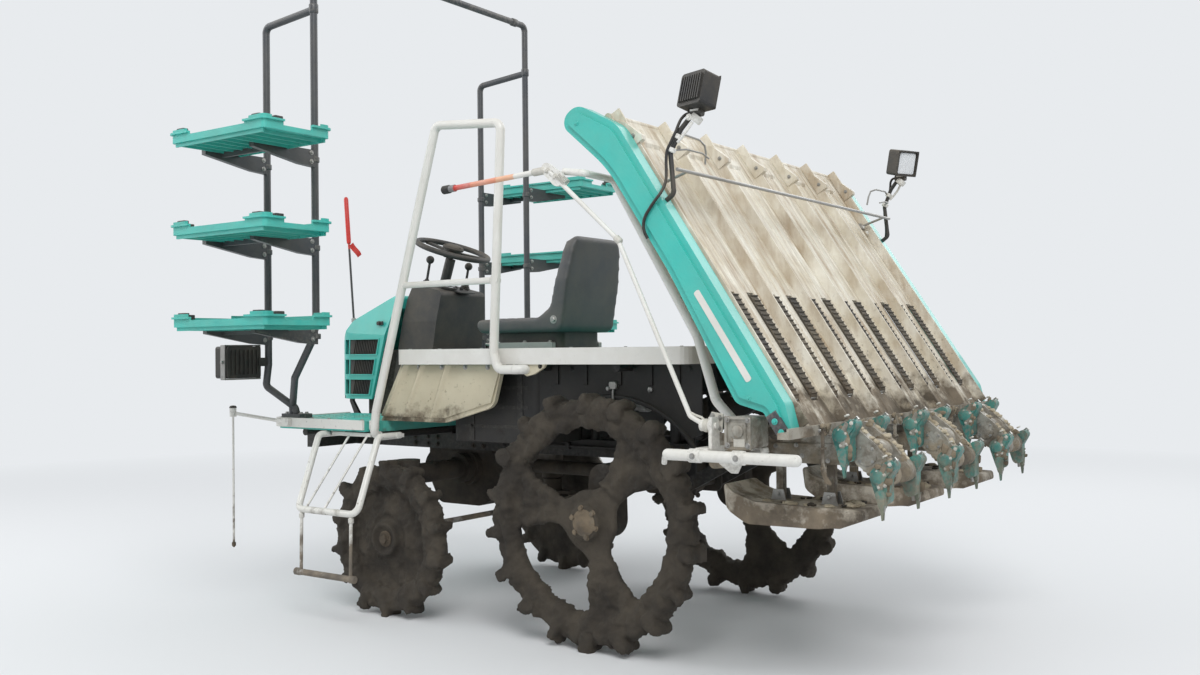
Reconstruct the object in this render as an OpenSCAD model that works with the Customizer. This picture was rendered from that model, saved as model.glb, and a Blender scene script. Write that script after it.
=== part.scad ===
// Riding rice transplanter, six rows, planting unit raised.
// X points forward, Y to the left, Z up. Places along X are measured from the rear axle.

/* [Wheels and axles] */
// Distance between the front and rear axles
wheelbase = 1040; // [1020:5:1060]
// Rear wheel diameter over the lugs
rear_wheel_d = 950; // [930:10:960]
// Rear wheel width over the lugs
rear_wheel_w = 96; // [80:2:104]
// Distance between the middles of the rear wheels
rear_track = 1208; // [1200:4:1220]
// Number of lugs on a rear wheel
rear_lugs = 18; // [16:1:20]
// Front wheel diameter over the lugs
front_wheel_d = 650; // [630:10:660]
// Front wheel width over the lugs
front_wheel_w = 90; // [80:2:96]
// Distance between the middles of the front wheels
front_track = 1220; // [1212:4:1228]
// Number of lugs on a front wheel
front_lugs = 14; // [12:1:16]
// Distance from the middle of a front wheel in to its kingpin
kingpin_inset = 105; // [100:1:112]
// Height of the front axle tube
front_axle_z = 600; // [590:5:605]
// Height of the rear axle tube
rear_axle_z = 630; // [620:5:635]
// Radius of the wheel spindles
spindle_r = 20; // [16:1:24]

/* [Frame] */
// Half the distance between the middles of the frame rails
rail_y = 150; // [140:5:160]
// Height of the middle of the rails
rail_z = 700; // [695:1:705]
// Height of a rail's section
rail_h = 70; // [60:2:74]
// Width of a rail's section
rail_w = 50; // [40:2:56]
// Front end of the rails
rail_front_x = 1720; // [1700:5:1730]
// Radius of the round outriggers
outrigger_r = 16; // [12:1:20]
// Radius of the bore in the tow eye
tow_bore_r = 14; // [10:1:16]
// Thickness of the tow eye
tow_plate = 20; // [14:1:26]

/* [Floors and covers] */
// Height of the top of the front floor
floor_z = 815; // [805:5:825]
// Thickness of the front floor
floor_t = 45; // [35:1:50]
// Front edge of the front floor
floor_front_x = 1740; // [1735:5:1760]
// Half width of the front floor
floor_half_w = 652; // [640:2:660]
// Height of the top of the seat deck
deck_z = 1115; // [1105:5:1125]
// Thickness of the seat deck
deck_t = 55; // [45:1:60]
// Front edge of the seat deck
deck_front_x = 1008; // [1000:2:1014]
// Rear edge of the seat deck
deck_rear_x = -418; // [-425:1:-400]
// Half width of the seat deck
deck_half_w = 598; // [580:2:606]
// Width of the band round the floors
band_w = 12; // [8:1:14]
// Thickness of the cover between the floors
cover_t = 20; // [12:1:26]
// Number of upright ribs on a side of the cover
cover_ribs = 3; // [2:1:4]

/* [Bonnet and controls] */
// Half width of the bonnet
bonnet_half_w = 228; // [210:2:240]
// Thickness of the bonnet's wall
bonnet_wall = 14; // [8:1:18]
// Number of vents on each side of the bonnet
vent_rows = 3; // [2:1:3]
// Height of a vent
vent_h = 70; // [50:2:72]
// Height of the middle of the steering wheel
steering_z = 1591; // [1570:5:1610]
// Radius of the steering wheel's rim
steering_r = 185; // [165:5:200]
// Lean of the steering column from upright
column_lean = 19.6; // [14:0.2:24]
// Width of the seat
seat_w = 400; // [360:10:440]
// Height of the top of the seat back
seat_top_z = 1600; // [1560:10:1640]

/* [Handrail, steps and racks] */
// Radius of the handrail tube
rail_tube_r = 18; // [14:1:20]
// Distance of the handrail from the middle of the machine
handrail_y = 640; // [636:1:646]
// Distance of the low bar of a step from the middle of the machine
step_y = 866; // [862:1:880]
// Height of the low bar of a step
step_z = 458; // [450:2:470]
// Distance of the rack posts from the middle of the machine
post_y = 722; // [710:2:740]
// Place of the front posts
post_front_x = 1690; // [1680:2:1700]
// Place of the rear posts
post_rear_x = 1370; // [1360:2:1380]
// Radius of the rack posts
post_r = 16; // [13:1:18]
// Height of the bar that joins the racks
crossbar_z = 2850; // [2830:5:2880]
// Height of the rims of the lowest trays
tray_low_z = 1262; // [1250:2:1280]
// Distance from one tray up to the next
tray_pitch = 382; // [370:2:390]
// Number of trays on a rack
tray_rows = 3; // [2:1:3]
// Length of a tray
tray_l = 620; // [600:5:640]
// Width of a tray
tray_w = 350; // [330:5:360]
// Depth of a tray
tray_depth = 42; // [34:1:50]
// Thickness of a tray's wall
tray_wall = 7; // [5:1:9]

/* [Lift] */
// Length of the lift links between their pins
link_l = 480; // [470:2:490]
// Rise of the links when the planting unit is raised
link_rise = 28; // [26:0.5:30]
// Place of the front link pins
link_x = -120; // [-130:1:-115]
// Height of the front pins of the lower links
link_low_z = 560; // [550:5:570]
// Distance from the lower link pins up to the upper ones
link_gap_z = 200; // [190:5:210]
// Radius of the link pins
link_pin_r = 12; // [10:0.5:14]
// Length of the arm that the lift cylinder pulls
crank_l = 130; // [120:2:140]
// Radius of the lift cylinder
cylinder_r = 32; // [28:1:38]
// Radius of the lift cylinder's rod
piston_rod_r = 14; // [10:1:18]
// Radius of the shaft on which the planting unit rolls
roll_shaft_r = 25; // [20:1:30]

/* [Planting unit] */
// Distance between rows
row_pitch = 300; // [290:2:310]
// Place of the main tube of the planting unit
tube_x = -715; // [-720:1:-710]
// Side of the square main tube
tube_side = 70; // [60:2:76]
// Place of the rotor shafts
rotor_x = -1112; // [-1120:1:-1108]
// Height of the rotor shafts
rotor_z = 778; // [770:1:782]
// Distance from a rotor shaft to its planting arms' pins
rotor_r = 85; // [78:1:90]
// Thickness of a rotary case
rotary_t = 46; // [36:2:50]
// Reach of a claw below its arm's pin
claw_reach = 128; // [118:1:136]
// Width of a float
float_w = 236; // [220:4:244]
// Height of the bottom of the floats
float_z = 538; // [530:1:545]
// Distance of the guard bars from the middle of the machine
guard_y = 1000; // [990:2:1010]
// Distance of the folded markers from the middle of the machine
marker_y = 962; // [956:1:968]
// Radius of a marker's inner arm
marker_r = 8; // [6:0.5:10]

/* [Seedling table] */
// Width of a lane from divider to divider
lane_pitch = 290; // [280:1:292]
// Length of the table along its slope
table_l = 1236; // [1200:4:1250]
// Lean of the table from upright
table_lean = 33.3; // [32.8:0.1:33.8]
// Place of the table's lower edge
table_x = -981; // [-986:1:-978]
// Height of the table's lower edge
table_z = 867; // [864:1:872]
// Thickness of the table's sheet
table_t = 12; // [8:1:14]
// Height of a divider
divider_h = 34; // [26:1:40]
// Thickness of the side beams
beam_t = 56; // [46:1:62]
// Radius of the hold-down rods
hold_r = 6; // [4:0.5:8]
// Width of a work lamp
lamp_w = 112; // [100:2:130]

/* [Hidden] */
$fn = 36;

// Gap between faces of pieces that sit on each other
seat_gap = 0.3;
// Radial gap of a shaft in its bore
fit = 0.06;
// Gap beside a link, lever or gearcase that turns
side_gap = 6;
// How much fatter a bent bar's elbows are than the bar, and how far the bar runs into them
elbow_lip = 0.3;
elbow_grip = 1;
// The planting cases stand between two rows each
case_y = [-2 * row_pitch, 0, 2 * row_pitch];
lanes = 2 * len(case_y);
// Places of the rows' middles beside a planting case
row_side = row_pitch / 2;

rear_wheel_r = rear_wheel_d / 2;
front_wheel_r = front_wheel_d / 2;
kingpin_y = front_track / 2 - kingpin_inset;
rail_top = rail_z + rail_h / 2;
rail_bottom = rail_z - rail_h / 2;
floor_bottom = floor_z - floor_t;
deck_bottom = deck_z - deck_t;
floor_bar_z = floor_bottom - seat_gap - outrigger_r;
deck_bar_z = deck_bottom - seat_gap - outrigger_r;
tank_top = 1038;

link_end_x = link_x - link_l * cos(link_rise);
link_end_z = link_low_z + link_l * sin(link_rise);
link_up_z = link_low_z + link_gap_z;
crank_x = link_x + crank_l * sin(link_rise);
crank_z = link_up_z + crank_l * cos(link_rise);
cylinder_z = link_up_z + crank_l * (1 + cos(link_rise)) / 2;

table_half_w = lanes * lane_pitch / 2 + 15;
hold_half_w = table_half_w + 22;
beam_y = table_half_w + seat_gap;
// Place of the guide rail along the table's slope
guide_z = 1000;
column_dir = [-sin(column_lean), 0, cos(column_lean)];
steering_at = [1236, 0, steering_z];

// Furthest points, from which the middle of the machine is worked out
front_reach = 1984;
rear_reach = rotor_x - rotor_r * cos(45) - 51;
mid_x = (front_reach + rear_reach) / 2;

teal = [0.12, 0.68, 0.64];
off_white = [0.9, 0.9, 0.87];
cream = [0.86, 0.82, 0.72];
dark = [0.13, 0.13, 0.14];
steel = [0.55, 0.56, 0.56];
mud = [0.27, 0.23, 0.19];

function unit(v) = v / norm(v);

// Points of an arc that rounds the corner q between p and s
function corner_arc(p, q, s, r, n) =
    let (u = unit(p - q), v = unit(s - q), half = acos(u * v) / 2,
         c = q + unit(u + v) * r / sin(half),
         a = q + u * r / tan(half) - c, b = q + v * r / tan(half) - c)
    [for (k = [0:n]) c + unit(a * (1 - k / n) + b * k / n) * r];

// Outline with its corners rounded; rows are [x, y, radius]
function soft_outline(rows, n = 5) =
    let (m = len(rows))
    [for (i = [0:m - 1])
        let (q = rows[i], p = rows[(i + m - 1) % m], s = rows[(i + 1) % m])
        each q[2] == 0 ? [[q[0], q[1]]]
            : corner_arc([p[0], p[1]], [q[0], q[1]], [s[0], s[1]], q[2], n)];

module in_frame() translate([-mid_x, 0, 0]) children();
module both_sides() { children(); mirror([0, 1, 0]) children(); }
module at_side(side) { if (side > 0) children(); else mirror([0, 1, 0]) children(); }
// Turns a drawing's Z to the machine's Y, so that a disc stands across Y
module across() rotate([-90, 0, 0]) children();
// Extrudes a side view, drawn in X and Z, from y = low to y = high
module side_view(low, high)
    translate([0, high, 0]) rotate([90, 0, 0]) linear_extrude(high - low) children();
// Extrudes a front view, drawn in Y and Z, from x = low to x = high
module front_view(low, high)
    translate([low, 0, 0]) rotate([90, 0, 90]) linear_extrude(high - low) children();
// Extrudes a plan, drawn in X and Y, from z = low to z = high
module plan(low, high) translate([0, 0, low]) linear_extrude(high - low) children();
module box(low, high) translate(low) cube(high - low);

// Round bar between two points
module bar(a, b, r) {
    d = b - a;
    translate(a) rotate([0, acos(d[2] / norm(d)), atan2(d[1], d[0])]) cylinder(r = r, h = norm(d));
}

// Round bar along points, with true bends of one radius
module bent_bar(pts, r, bend) {
    last = len(pts) - 1;
    dirs = [for (i = [0:last - 1]) unit(pts[i + 1] - pts[i])];
    turns = [for (i = [1:last - 1]) acos(dirs[i - 1] * dirs[i])];
    cuts = [for (i = [0:last]) i == 0 || i == last ? 0 : bend * tan(turns[i - 1] / 2)];
    // The straights end just inside the elbows, which are a little fatter
    grip = [for (i = [0:last]) cuts[i] == 0 ? 0 : elbow_grip];
    for (i = [0:last - 1])
        bar(pts[i] + dirs[i] * (cuts[i] - grip[i]), pts[i + 1] - dirs[i] * (cuts[i + 1] - grip[i + 1]), r);
    for (i = [1:last - 1]) {
        along = dirs[i - 1];
        side = unit(dirs[i] - along * (dirs[i] * along));
        z = cross(-side, along);
        c = pts[i] - along * cuts[i] + side * bend;
        multmatrix([[-side[0], along[0], z[0], c[0]],
                    [-side[1], along[1], z[1], c[1]],
                    [-side[2], along[2], z[2], c[2]],
                    [0, 0, 0, 1]])
            rotate_extrude(angle = turns[i - 1]) translate([bend, 0]) circle(r = r + elbow_lip);
    }
}

// Flat link between two points of a drawing, with round ends
module link_2d(a, b, ra, rb) {
    d = b - a;
    tilt = atan2(d[1], d[0]);
    open = acos((ra - rb) / norm(d));
    polygon([for (e = [[a, ra, 1], [b, rb, 1], [b, rb, -1], [a, ra, -1]])
        e[0] + e[1] * [cos(tilt + e[2] * open), sin(tilt + e[2] * open)]]);
    translate(a) circle(r = ra);
    translate(b) circle(r = rb);
}

module round_rect(size, r) {
    square([size[0] - 2 * r, size[1]], center = true);
    square([size[0], size[1] - 2 * r], center = true);
    for (i = [-1, 1], j = [-1, 1]) translate([i * (size[0] / 2 - r), j * (size[1] / 2 - r)]) circle(r = r);
}

// A wheel's lug, drawn round the wheel and outwards, extruded across the wheel
module lug(root_r, tip_r, root_w, tip_w, across_w)
    linear_extrude(across_w, center = true)
        polygon([[root_r, -root_w / 2], [tip_r, -tip_w / 2], [tip_r, tip_w / 2], [root_r, root_w / 2]]);

// Rear wheel: hub, three broad webs, rim and paddle lugs
module rear_wheel_form() {
    rim_r = rear_wheel_r - 62;
    rim_t = 42;
    hub_r = 66;
    web_t = 26;
    web_turn = 48;
    across() {
        difference() {
            union() {
                cylinder(r = rim_r, h = web_t, center = true);
                translate([0, 0, -54]) cylinder(r = hub_r, h = 96);
            }
            for (k = [0:2]) rotate(k * 120 + web_turn) rear_web_opening(118, rim_r - rim_t);
            translate([0, 0, -55]) cylinder(r = spindle_r + fit, h = 80);
        }
        rotate_extrude() translate([rim_r - rim_t, -rim_t / 2 - 4]) square([rim_t, rim_t + 8]);
        for (k = [0:rear_lugs - 1]) rotate((k + 0.5) * 360 / rear_lugs)
            lug(rim_r - 2, rear_wheel_r, 46, 26, rear_wheel_w);
    }
}

// One of the three openings between a rear wheel's webs
module rear_web_opening(inner_r, outer_r) {
    spread = 43;
    corner_r = 72;
    linear_extrude(200, center = true) offset(r = corner_r) offset(delta = -corner_r) intersection() {
        difference() { circle(r = outer_r); circle(r = inner_r); }
        polygon([[0, 0], 900 * [cos(spread), -sin(spread)], 900 * [cos(spread), sin(spread)]]);
    }
}

// Front wheel: dished disc with a hub cup, ring and lugs
module front_wheel_form() {
    rim_r = front_wheel_r - 58;
    across() {
        difference() {
            union() {
                rotate_extrude() polygon([[0, -14], [90, -14], [150, -24], [rim_r, -24], [rim_r, 24],
                    [rim_r - 30, 24], [rim_r - 40, -2], [150, -2], [100, 10], [76, 10],
                    [70, 46], [0, 46]]);
                translate([0, 0, -48]) cylinder(r = 46, h = 60);
            }
            translate([0, 0, -49]) cylinder(r = spindle_r + fit, h = 76);
            translate([0, 0, 30]) cylinder(r = 56, h = 30);
        }
        for (k = [0:front_lugs - 1]) rotate((k + 0.5) * 360 / front_lugs)
            lug(rim_r - 4, front_wheel_r, 44, 24, front_wheel_w);
    }
}

module rear_wheel(side) color(mud)
    at_side(side) translate([0, rear_track / 2, rear_wheel_r]) rear_wheel_form();
module front_wheel(side) color(mud)
    at_side(side) translate([wheelbase, front_track / 2, front_wheel_r]) front_wheel_form();

// Frame: rails, cross members, outriggers, mast plates for the links and tow eye
module main_frame() color(dark) difference() {
    union() {
        both_sides() box([-165, rail_y - rail_w / 2, rail_bottom], [rail_front_x, rail_y + rail_w / 2, rail_top]);
        // Columns: place along X, half length across Y, low Z, high Z
        for (m = [[-60, rail_y, rail_bottom, 720], [590, rail_y, 672, 728], [1300, rail_y, 680, 720],
                  [rail_front_x - 50, 480, rail_bottom + 6, rail_top - 6]])
            box([m[0], -m[1], m[2]], [m[0] + 50, m[1], m[3]]);
        // Outriggers below the floor, on saddles; columns: place along X, reach across Y
        for (o = [[1110, 600], [1580, 610]]) both_sides() {
            bar([o[0], rail_y + 2, floor_bar_z], [o[0], o[1], floor_bar_z], outrigger_r);
            box([o[0] - 20, rail_y + 1, rail_top - 1], [o[0] + 20, rail_y + 24, floor_bar_z]);
        }
        // Outriggers below the deck, on posts; columns: place along X, reach across Y
        for (o = [[300, 556], [-90, 556], [860, 530]]) {
            bar([o[0], -o[1], deck_bar_z], [o[0], o[1], deck_bar_z], outrigger_r);
            both_sides() bar([o[0], rail_y, rail_top - 8], [o[0], rail_y, deck_bar_z], 19);
        }
        // Mast plates and link pins
        both_sides() side_view(96, 108) polygon(soft_outline([
            [link_x - 40, link_low_z - 40, 30], [-56, link_low_z - 40, 12], [-56, rail_z + 20, 0],
            [link_x + 60, link_up_z + 60, 20], [link_x - 36, link_up_z + 60, 30]]));
        both_sides() box([link_x, 107, rail_bottom + 8], [-60, rail_y, rail_top - 8]);
        for (z = [link_low_z, link_up_z])
            bar([link_x, -140, z], [link_x, 140, z], link_pin_r);
        // Anchor of the lift cylinder
        side_view(-14, 14) polygon([[588, rail_z], [642, rail_z], [630, cylinder_z + 26], [586, cylinder_z + 26],
            [586, cylinder_z - 26]]);
        // Posts that carry the bonnet's front edge
        both_sides() side_view(142, 156) polygon([[1664, rail_top - 6], [1716, rail_top - 6],
            [1788, 868], [1788, 885 - seat_gap], [1766, 885 - seat_gap], [1766, 872]]);
        // Tow eye
        plan(rail_z - tow_plate / 2, rail_z + tow_plate / 2)
            link_2d([rail_front_x - 20, 0], [rail_front_x + 78, 0], 60, 34);
    }
    translate([rail_front_x + 78, 0, 0]) cylinder(r = tow_bore_r, h = 2000);
}

// Gearcase between the rails, with its clutch housing
module transmission() color(dark) {
    top = rail_bottom - seat_gap;
    side_view(-112, 112) translate([wheelbase, 0]) polygon(soft_outline([[-210, 470, 40], [-60, 405, 40],
        [190, 405, 50], [250, 520, 40], [250, top, 0], [-210, top, 0]]));
    box([wheelbase - 170, -rail_y, top - 14], [wheelbase + 210, rail_y, top]);
    both_sides() translate([wheelbase, 100, front_axle_z - 20]) across() cylinder(r = 80, h = 46);
    translate([wheelbase + 250, 0, 560]) rotate([0, 90, 0]) cylinder(r = 84, h = 60);
}

module engine() color(steel) box([1340, -140, rail_top + seat_gap], [1670, 140, 1120]);

// Tank below the seat: a lobe outside each rail and a middle part behind the lift cylinder
module fuel_tank() color(dark) {
    low = rail_top + seat_gap;
    both_sides() translate([575, 325, 0]) plan(low, tank_top) round_rect([490, 290], 50);
    box([340, -190, low], [560, 190, 835]);
}

// Cross tube with a kingpin sleeve at each end
module front_axle() color(dark) difference() {
    union() {
        both_sides() bar([wheelbase, 146 + seat_gap, front_axle_z - 20], [wheelbase, kingpin_y, front_axle_z - 20], 44);
        both_sides() translate([wheelbase, kingpin_y, 474]) cylinder(r = 52, h = 172);
        both_sides() bar([wheelbase, 146 + seat_gap, front_axle_z - 20], [wheelbase, 190, front_axle_z - 20], 66);
    }
    both_sides() translate([wheelbase, kingpin_y, 400]) cylinder(r = 24 + fit, h = 220);
}

// Steered gearcase below a kingpin, with the wheel spindle and a steering arm
module knuckle(side) color(dark) at_side(side) {
    top = 474 - side_gap;
    translate([wheelbase, kingpin_y, front_wheel_r]) cylinder(r = 46, h = top - front_wheel_r);
    translate([wheelbase, kingpin_y, front_wheel_r]) sphere(r = 46);
    translate([wheelbase, kingpin_y, top - 1]) cylinder(r = 24, h = 140);
    bar([wheelbase, kingpin_y, front_wheel_r], [wheelbase, front_track / 2 - 52, front_wheel_r], 36);
    bar([wheelbase, kingpin_y, front_wheel_r], [wheelbase, front_track / 2 + 22, front_wheel_r], spindle_r);
    difference() {
        plan(396, 410) link_2d([wheelbase, kingpin_y], [wheelbase - 120, kingpin_y], 44, 20);
        translate([wheelbase - 120, kingpin_y, 300]) cylinder(r = 9 + fit, h = 200);
    }
}

// Rod that turns both knuckles together
module tie_rod() color(steel) {
    z = 376;
    bar([wheelbase - 120, -kingpin_y, z], [wheelbase - 120, kingpin_y, z], 12);
    both_sides() translate([wheelbase - 120, kingpin_y, z - 16]) cylinder(r = 19, h = 32);
    both_sides() translate([wheelbase - 120, kingpin_y, z]) cylinder(r = 9, h = 36);
}

// Centre case, cross tube and the two drop cases with their spindles
module rear_axle() color(dark) {
    case_out = rear_track / 2 - 54 - side_gap - 12;
    top = rail_bottom - seat_gap;
    side_view(-92, 92) polygon(soft_outline([[-88, 520, 30], [90, 520, 30], [130, top, 0], [-88, top, 0]]));
    both_sides() {
        bar([0, 90, rear_axle_z - 30], [0, case_out - 60, rear_axle_z - 30], 50);
        side_view(case_out - 66, case_out)
            link_2d([0, rear_wheel_r], [-6, rear_axle_z - 12], 74, 64);
        bar([0, case_out - 10, rear_wheel_r], [0, case_out + 12, rear_wheel_r], 44);
        bar([0, case_out, rear_wheel_r], [0, rear_track / 2 + 20, rear_wheel_r], spindle_r);
    }
    bar([96, 0, 590], [wheelbase - 210 - seat_gap, 0, 590], 30);
}

// Plan of the front floor, with the opening for the engine
module floor_plan(grow) difference() {
    polygon(soft_outline([[1150, -floor_half_w - grow, 0], [floor_front_x + grow, -floor_half_w - grow, 60],
        [floor_front_x + grow, floor_half_w + grow, 60], [1150, floor_half_w + grow, 0],
        [1150, 584, 0], [1100, 584, 0], [1100, -584, 0], [1150, -584, 0]]));
    translate([1252, -196]) square([900, 392]);
}

module front_floor() color(teal) difference() {
    plan(floor_bottom, floor_z) floor_plan(0);
    plan(floor_bottom - 1, floor_z - 12) difference() {
        offset(delta = -14) floor_plan(0);
        for (x = [1388, 1574]) translate([x, -700]) square([12, 1400]);
    }
}

module deck_plan(grow) polygon(soft_outline([
    [deck_rear_x - grow, -deck_half_w - grow, 40], [deck_front_x, -deck_half_w - grow, 40],
    [deck_front_x, deck_half_w + grow, 40], [deck_rear_x - grow, deck_half_w + grow, 40]]));

module seat_deck() color(teal) difference() {
    plan(deck_bottom, deck_z) deck_plan(0);
    plan(deck_bottom - 1, deck_z - 12) difference() {
        offset(delta = -14) deck_plan(0);
        for (x = [-96, 294, 854]) translate([x, -700]) square([12, 1400]);
    }
}

// Bands round the edges of the floor and the deck
module edge_bands() color(off_white) {
    difference() {
        plan(floor_bottom + 8, floor_z + 4) floor_plan(band_w);
        plan(0, 3000) offset(delta = seat_gap) floor_plan(0);
        box([1260, -190, 0], [3000, 190, 3000]);
        box([0, -2000, 0], [1150, 2000, 3000]);
    }
    difference() {
        plan(deck_bottom - 4, deck_z + 4) deck_plan(band_w);
        plan(0, 3000) offset(delta = seat_gap) deck_plan(0);
        box([deck_front_x - 60, -570, 0], [3000, 570, 3000]);
    }
}

// Ribbed cover below the deck: two sides and the rise in front
module body_cover() color(cream) {
    low_z = floor_z + seat_gap;
    high_z = deck_bottom - seat_gap;
    // Side view of the cover's edges
    front_low = 1136;
    front_high = 1010;
    rear_high = 449;
    rear_low = 500;
    half_w = 566;
    rib_pitch = (front_high - rear_low - 60) / cover_ribs;
    both_sides() {
        side_view(half_w - cover_t, half_w) polygon(soft_outline([[front_low, low_z, 0], [front_high, high_z, 0],
            [rear_high, high_z, 0], [rear_low, low_z + 70, 60], [rear_low + 260, low_z, 120]]));
        for (k = [0:cover_ribs - 1])
            side_view(half_w - 2, half_w + 8) translate([rear_low + 80 + rib_pitch * k, 0])
                polygon(soft_outline([[0, low_z + 96, 6], [rib_pitch - 46, low_z + 96, 6],
                    [rib_pitch - 66, high_z - 22, 6], [-14, high_z - 22, 6]]));
    }
    side_view(-half_w, half_w) polygon([[front_low, low_z], [front_high, high_z],
        [front_high - cover_t, high_z], [front_low - cover_t, low_z]]);
}

// Tapered console behind the bonnet, with the steering column
module dash_console() color(dark) {
    base = rail_top + seat_gap;
    difference() {
        intersection() {
            side_view(-178, 178) polygon(soft_outline([[1278, base, 0], [1518, base, 0], [1386, 1360, 0],
                [1352, 1432, 24], [1168, 1388, 24], [1206, 1150, 60]]));
            front_view(1000, 1700) polygon(soft_outline([[-178, base, 0], [178, base, 0], [166, 1250, 30],
                [140, 1500, 30], [-140, 1500, 30], [-166, 1250, 30]]));
        }
        // Room for the engine
        side_view(-158, 158) polygon([[1294, base - 1], [1600, base - 1], [1600, 1136], [1240, 1136]]);
    }
    bar(steering_at - column_dir * 190, steering_at - column_dir * 44, 24);
    bar(steering_at - column_dir * 60, steering_at - column_dir * 6, 12);
}

// The top of the dash rises towards the front: its height at a place along X
dash_slope = 44 / 184;
function dash_top(x) = 1388 + (x - 1168) * dash_slope;

module levers() color(dark) {
    // Columns: foot X, foot Y, length
    for (v = [[1296, 122, 125], [1272, -122, 110]]) {
        foot = [v[0] - seat_gap * dash_slope, v[1], dash_top(v[0]) + seat_gap];
        tip = foot + unit([-dash_slope, 0, 1]) * v[2];
        bar(foot, tip, 6);
        translate(tip) sphere(r = 19);
    }
}

// Bucket seat: cushion and back in one side view, with raised sides
module seat() color(dark) {
    low = deck_z + 72;
    back = [[430, seat_top_z, 18], [376, seat_top_z - 6, 18], [446, low, 30]];
    intersection() {
        difference() {
            side_view(-seat_w / 2, seat_w / 2) polygon(soft_outline([[900, low, 20], [936, low + 62, 24],
                [570, low + 62, 50], [500, low + 110, 30], back[0], back[1], back[2]]));
            side_view(-seat_w / 2 + 46, seat_w / 2 - 46) polygon(soft_outline([[1000, low + 50, 0],
                [566, low + 40, 40], [482, low + 92, 30], [404, seat_top_z + 60, 0], [800, seat_top_z + 60, 0]]));
        }
        front_view(300, 1000) polygon(soft_outline([[-seat_w / 2, low - 10, 30], [seat_w / 2, low - 10, 30],
            [seat_w / 2, low + 220, 80], [seat_w / 2 - 30, seat_top_z, 70], [-seat_w / 2 + 30, seat_top_z, 70],
            [-seat_w / 2, low + 220, 80]]));
    }
}

module seat_base() color(dark)
    plan(deck_z + seat_gap, deck_z + 72 - seat_gap) translate([660, 0]) round_rect([360, 300], 40);

// White tube hoop beside the driver's place, with a bar across it
module handrail() color(off_white) {
    y = handrail_y;
    end_z = deck_bottom - 5 - rail_tube_r;
    bent_bar([[1110, 600 + seat_gap, floor_bar_z], [1110, y - 4, floor_bar_z], [1090, y, 860], [730, y, 2027],
        [385, y, 1996], [432, y, 1100], [412, y, end_z], [300, y, end_z], [300, 556 + seat_gap, end_z]],
        rail_tube_r, 34);
    bar([925, y, 1385], [424, y, 1385], 13);
}

// Step ladder hung from the floor's edge, with stays and a low rung
module boarding_steps() color(off_white) both_sides() {
    top_z = floor_bottom - 15;
    bent_bar([[1394, 560, top_z], [1394, 690, top_z], [1322, step_y, step_z], [966, step_y, step_z],
        [1026, 690, top_z], [1030, 560, top_z]], 14, 34);
    for (x = [1160, 1270]) bar([x, 624, top_z], [x + 8, step_y, step_z], 5);
    for (x = [1000, 1300]) bar([x, step_y, step_z], [x + 6, step_y, 196], 7);
    bar([980, step_y, 196], [1340, step_y, 196], 13);
    // Feet: against the floor's cross rib and the outrigger
    box([1372, 560, top_z - 8], [1416, 634, floor_bottom - seat_gap]);
    box([1010, 556, top_z - 8], [1110 - outrigger_r - seat_gap, 596, top_z + 8]);
    box([1136, 616, top_z - 8], [1394, 630, top_z + 8]);
}

// Two posts, their hoop and the tray arms of one rack
module rack(side) color(dark) at_side(side) {
    foot = [1640, 618, floor_z + 18];
    bent_bar([foot + [-14, 0, 0], foot + [-10, 6, 30], [post_front_x + 18, post_y, 962],
        [post_front_x, post_y, 1060], [post_front_x, post_y, 2572], [post_rear_x, post_y, 2596]], post_r, 30);
    bent_bar([foot + [14, 0, 0], foot + [10, 4, 30], [1512, post_y, 1000], [1404, post_y, 1150],
        [post_rear_x, post_y, 1230], [post_rear_x, post_y, crossbar_z], [post_rear_x, post_y - 90, crossbar_z]],
        post_r, 30);
    box([foot[0] - 62, 570, floor_z + seat_gap], [foot[0] + 62, 642, floor_z + 20]);
    for (k = [0:tray_rows - 1]) {
        top = tray_low_z + tray_pitch * k - tray_depth - seat_gap;
        for (x = [post_front_x, post_rear_x])
            front_view(x - 13, x + 13) polygon([[post_y, top - 74], [post_y + 90, top - 68],
                [post_y + 330, top - 26], [post_y + 330, top], [post_y, top]]);
        box([post_rear_x, post_y + 236, top - 30], [post_front_x, post_y + 250, top - 8]);
    }
}

module rack_crossbar() color(dark)
    bar([post_rear_x, -post_y + 90 + seat_gap, crossbar_z], [post_rear_x, post_y - 90 - seat_gap, crossbar_z], post_r);

// Open tray with a rim, ribs under the floor and a notch in its rear end
module rack_tray() {
    rim = 10;
    difference() {
        union() {
            plan(0, tray_depth) round_rect([tray_l - 2 * rim, tray_w - 2 * rim], 20);
            plan(tray_depth - 8, tray_depth) round_rect([tray_l, tray_w], 26);
            for (i = [-1, 1], j = [-1, 1]) translate([i * (tray_l / 2 - 62), j * (tray_w / 2 - 34), 0])
                plan(0, tray_depth + 12) round_rect([104, 48], 16);
        }
        plan(tray_wall, 200) round_rect([tray_l - 2 * rim - 2 * tray_wall, tray_w - 2 * rim - 2 * tray_wall], 16);
        translate([-tray_l / 2 - 20, -70, tray_depth - 22]) cube([60, 140, 80]);
        translate([-tray_l / 2 + 130, tray_w / 2 - 30, tray_depth - 14]) cube([tray_l - 260, 60, 80]);
    }
    for (k = [-3:3]) translate([k * 76 - 4, -tray_w / 2 + 24, tray_wall - 1]) cube([8, tray_w - 48, 5]);
}

module rack_trays() color(teal) both_sides() for (k = [0:tray_rows - 1])
    translate([1407, post_y + 134 + tray_w / 2, tray_low_z + tray_pitch * k - tray_depth]) rack_tray();

// Square lamp with its open side towards +X
module lamp_body(w, h, depth) difference() {
    rotate([90, 0, 90]) linear_extrude(depth) round_rect([w, h], 12);
    translate([depth - 10, 0, 0]) rotate([90, 0, 90]) linear_extrude(40) round_rect([w - 16, h - 16], 8);
}

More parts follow.
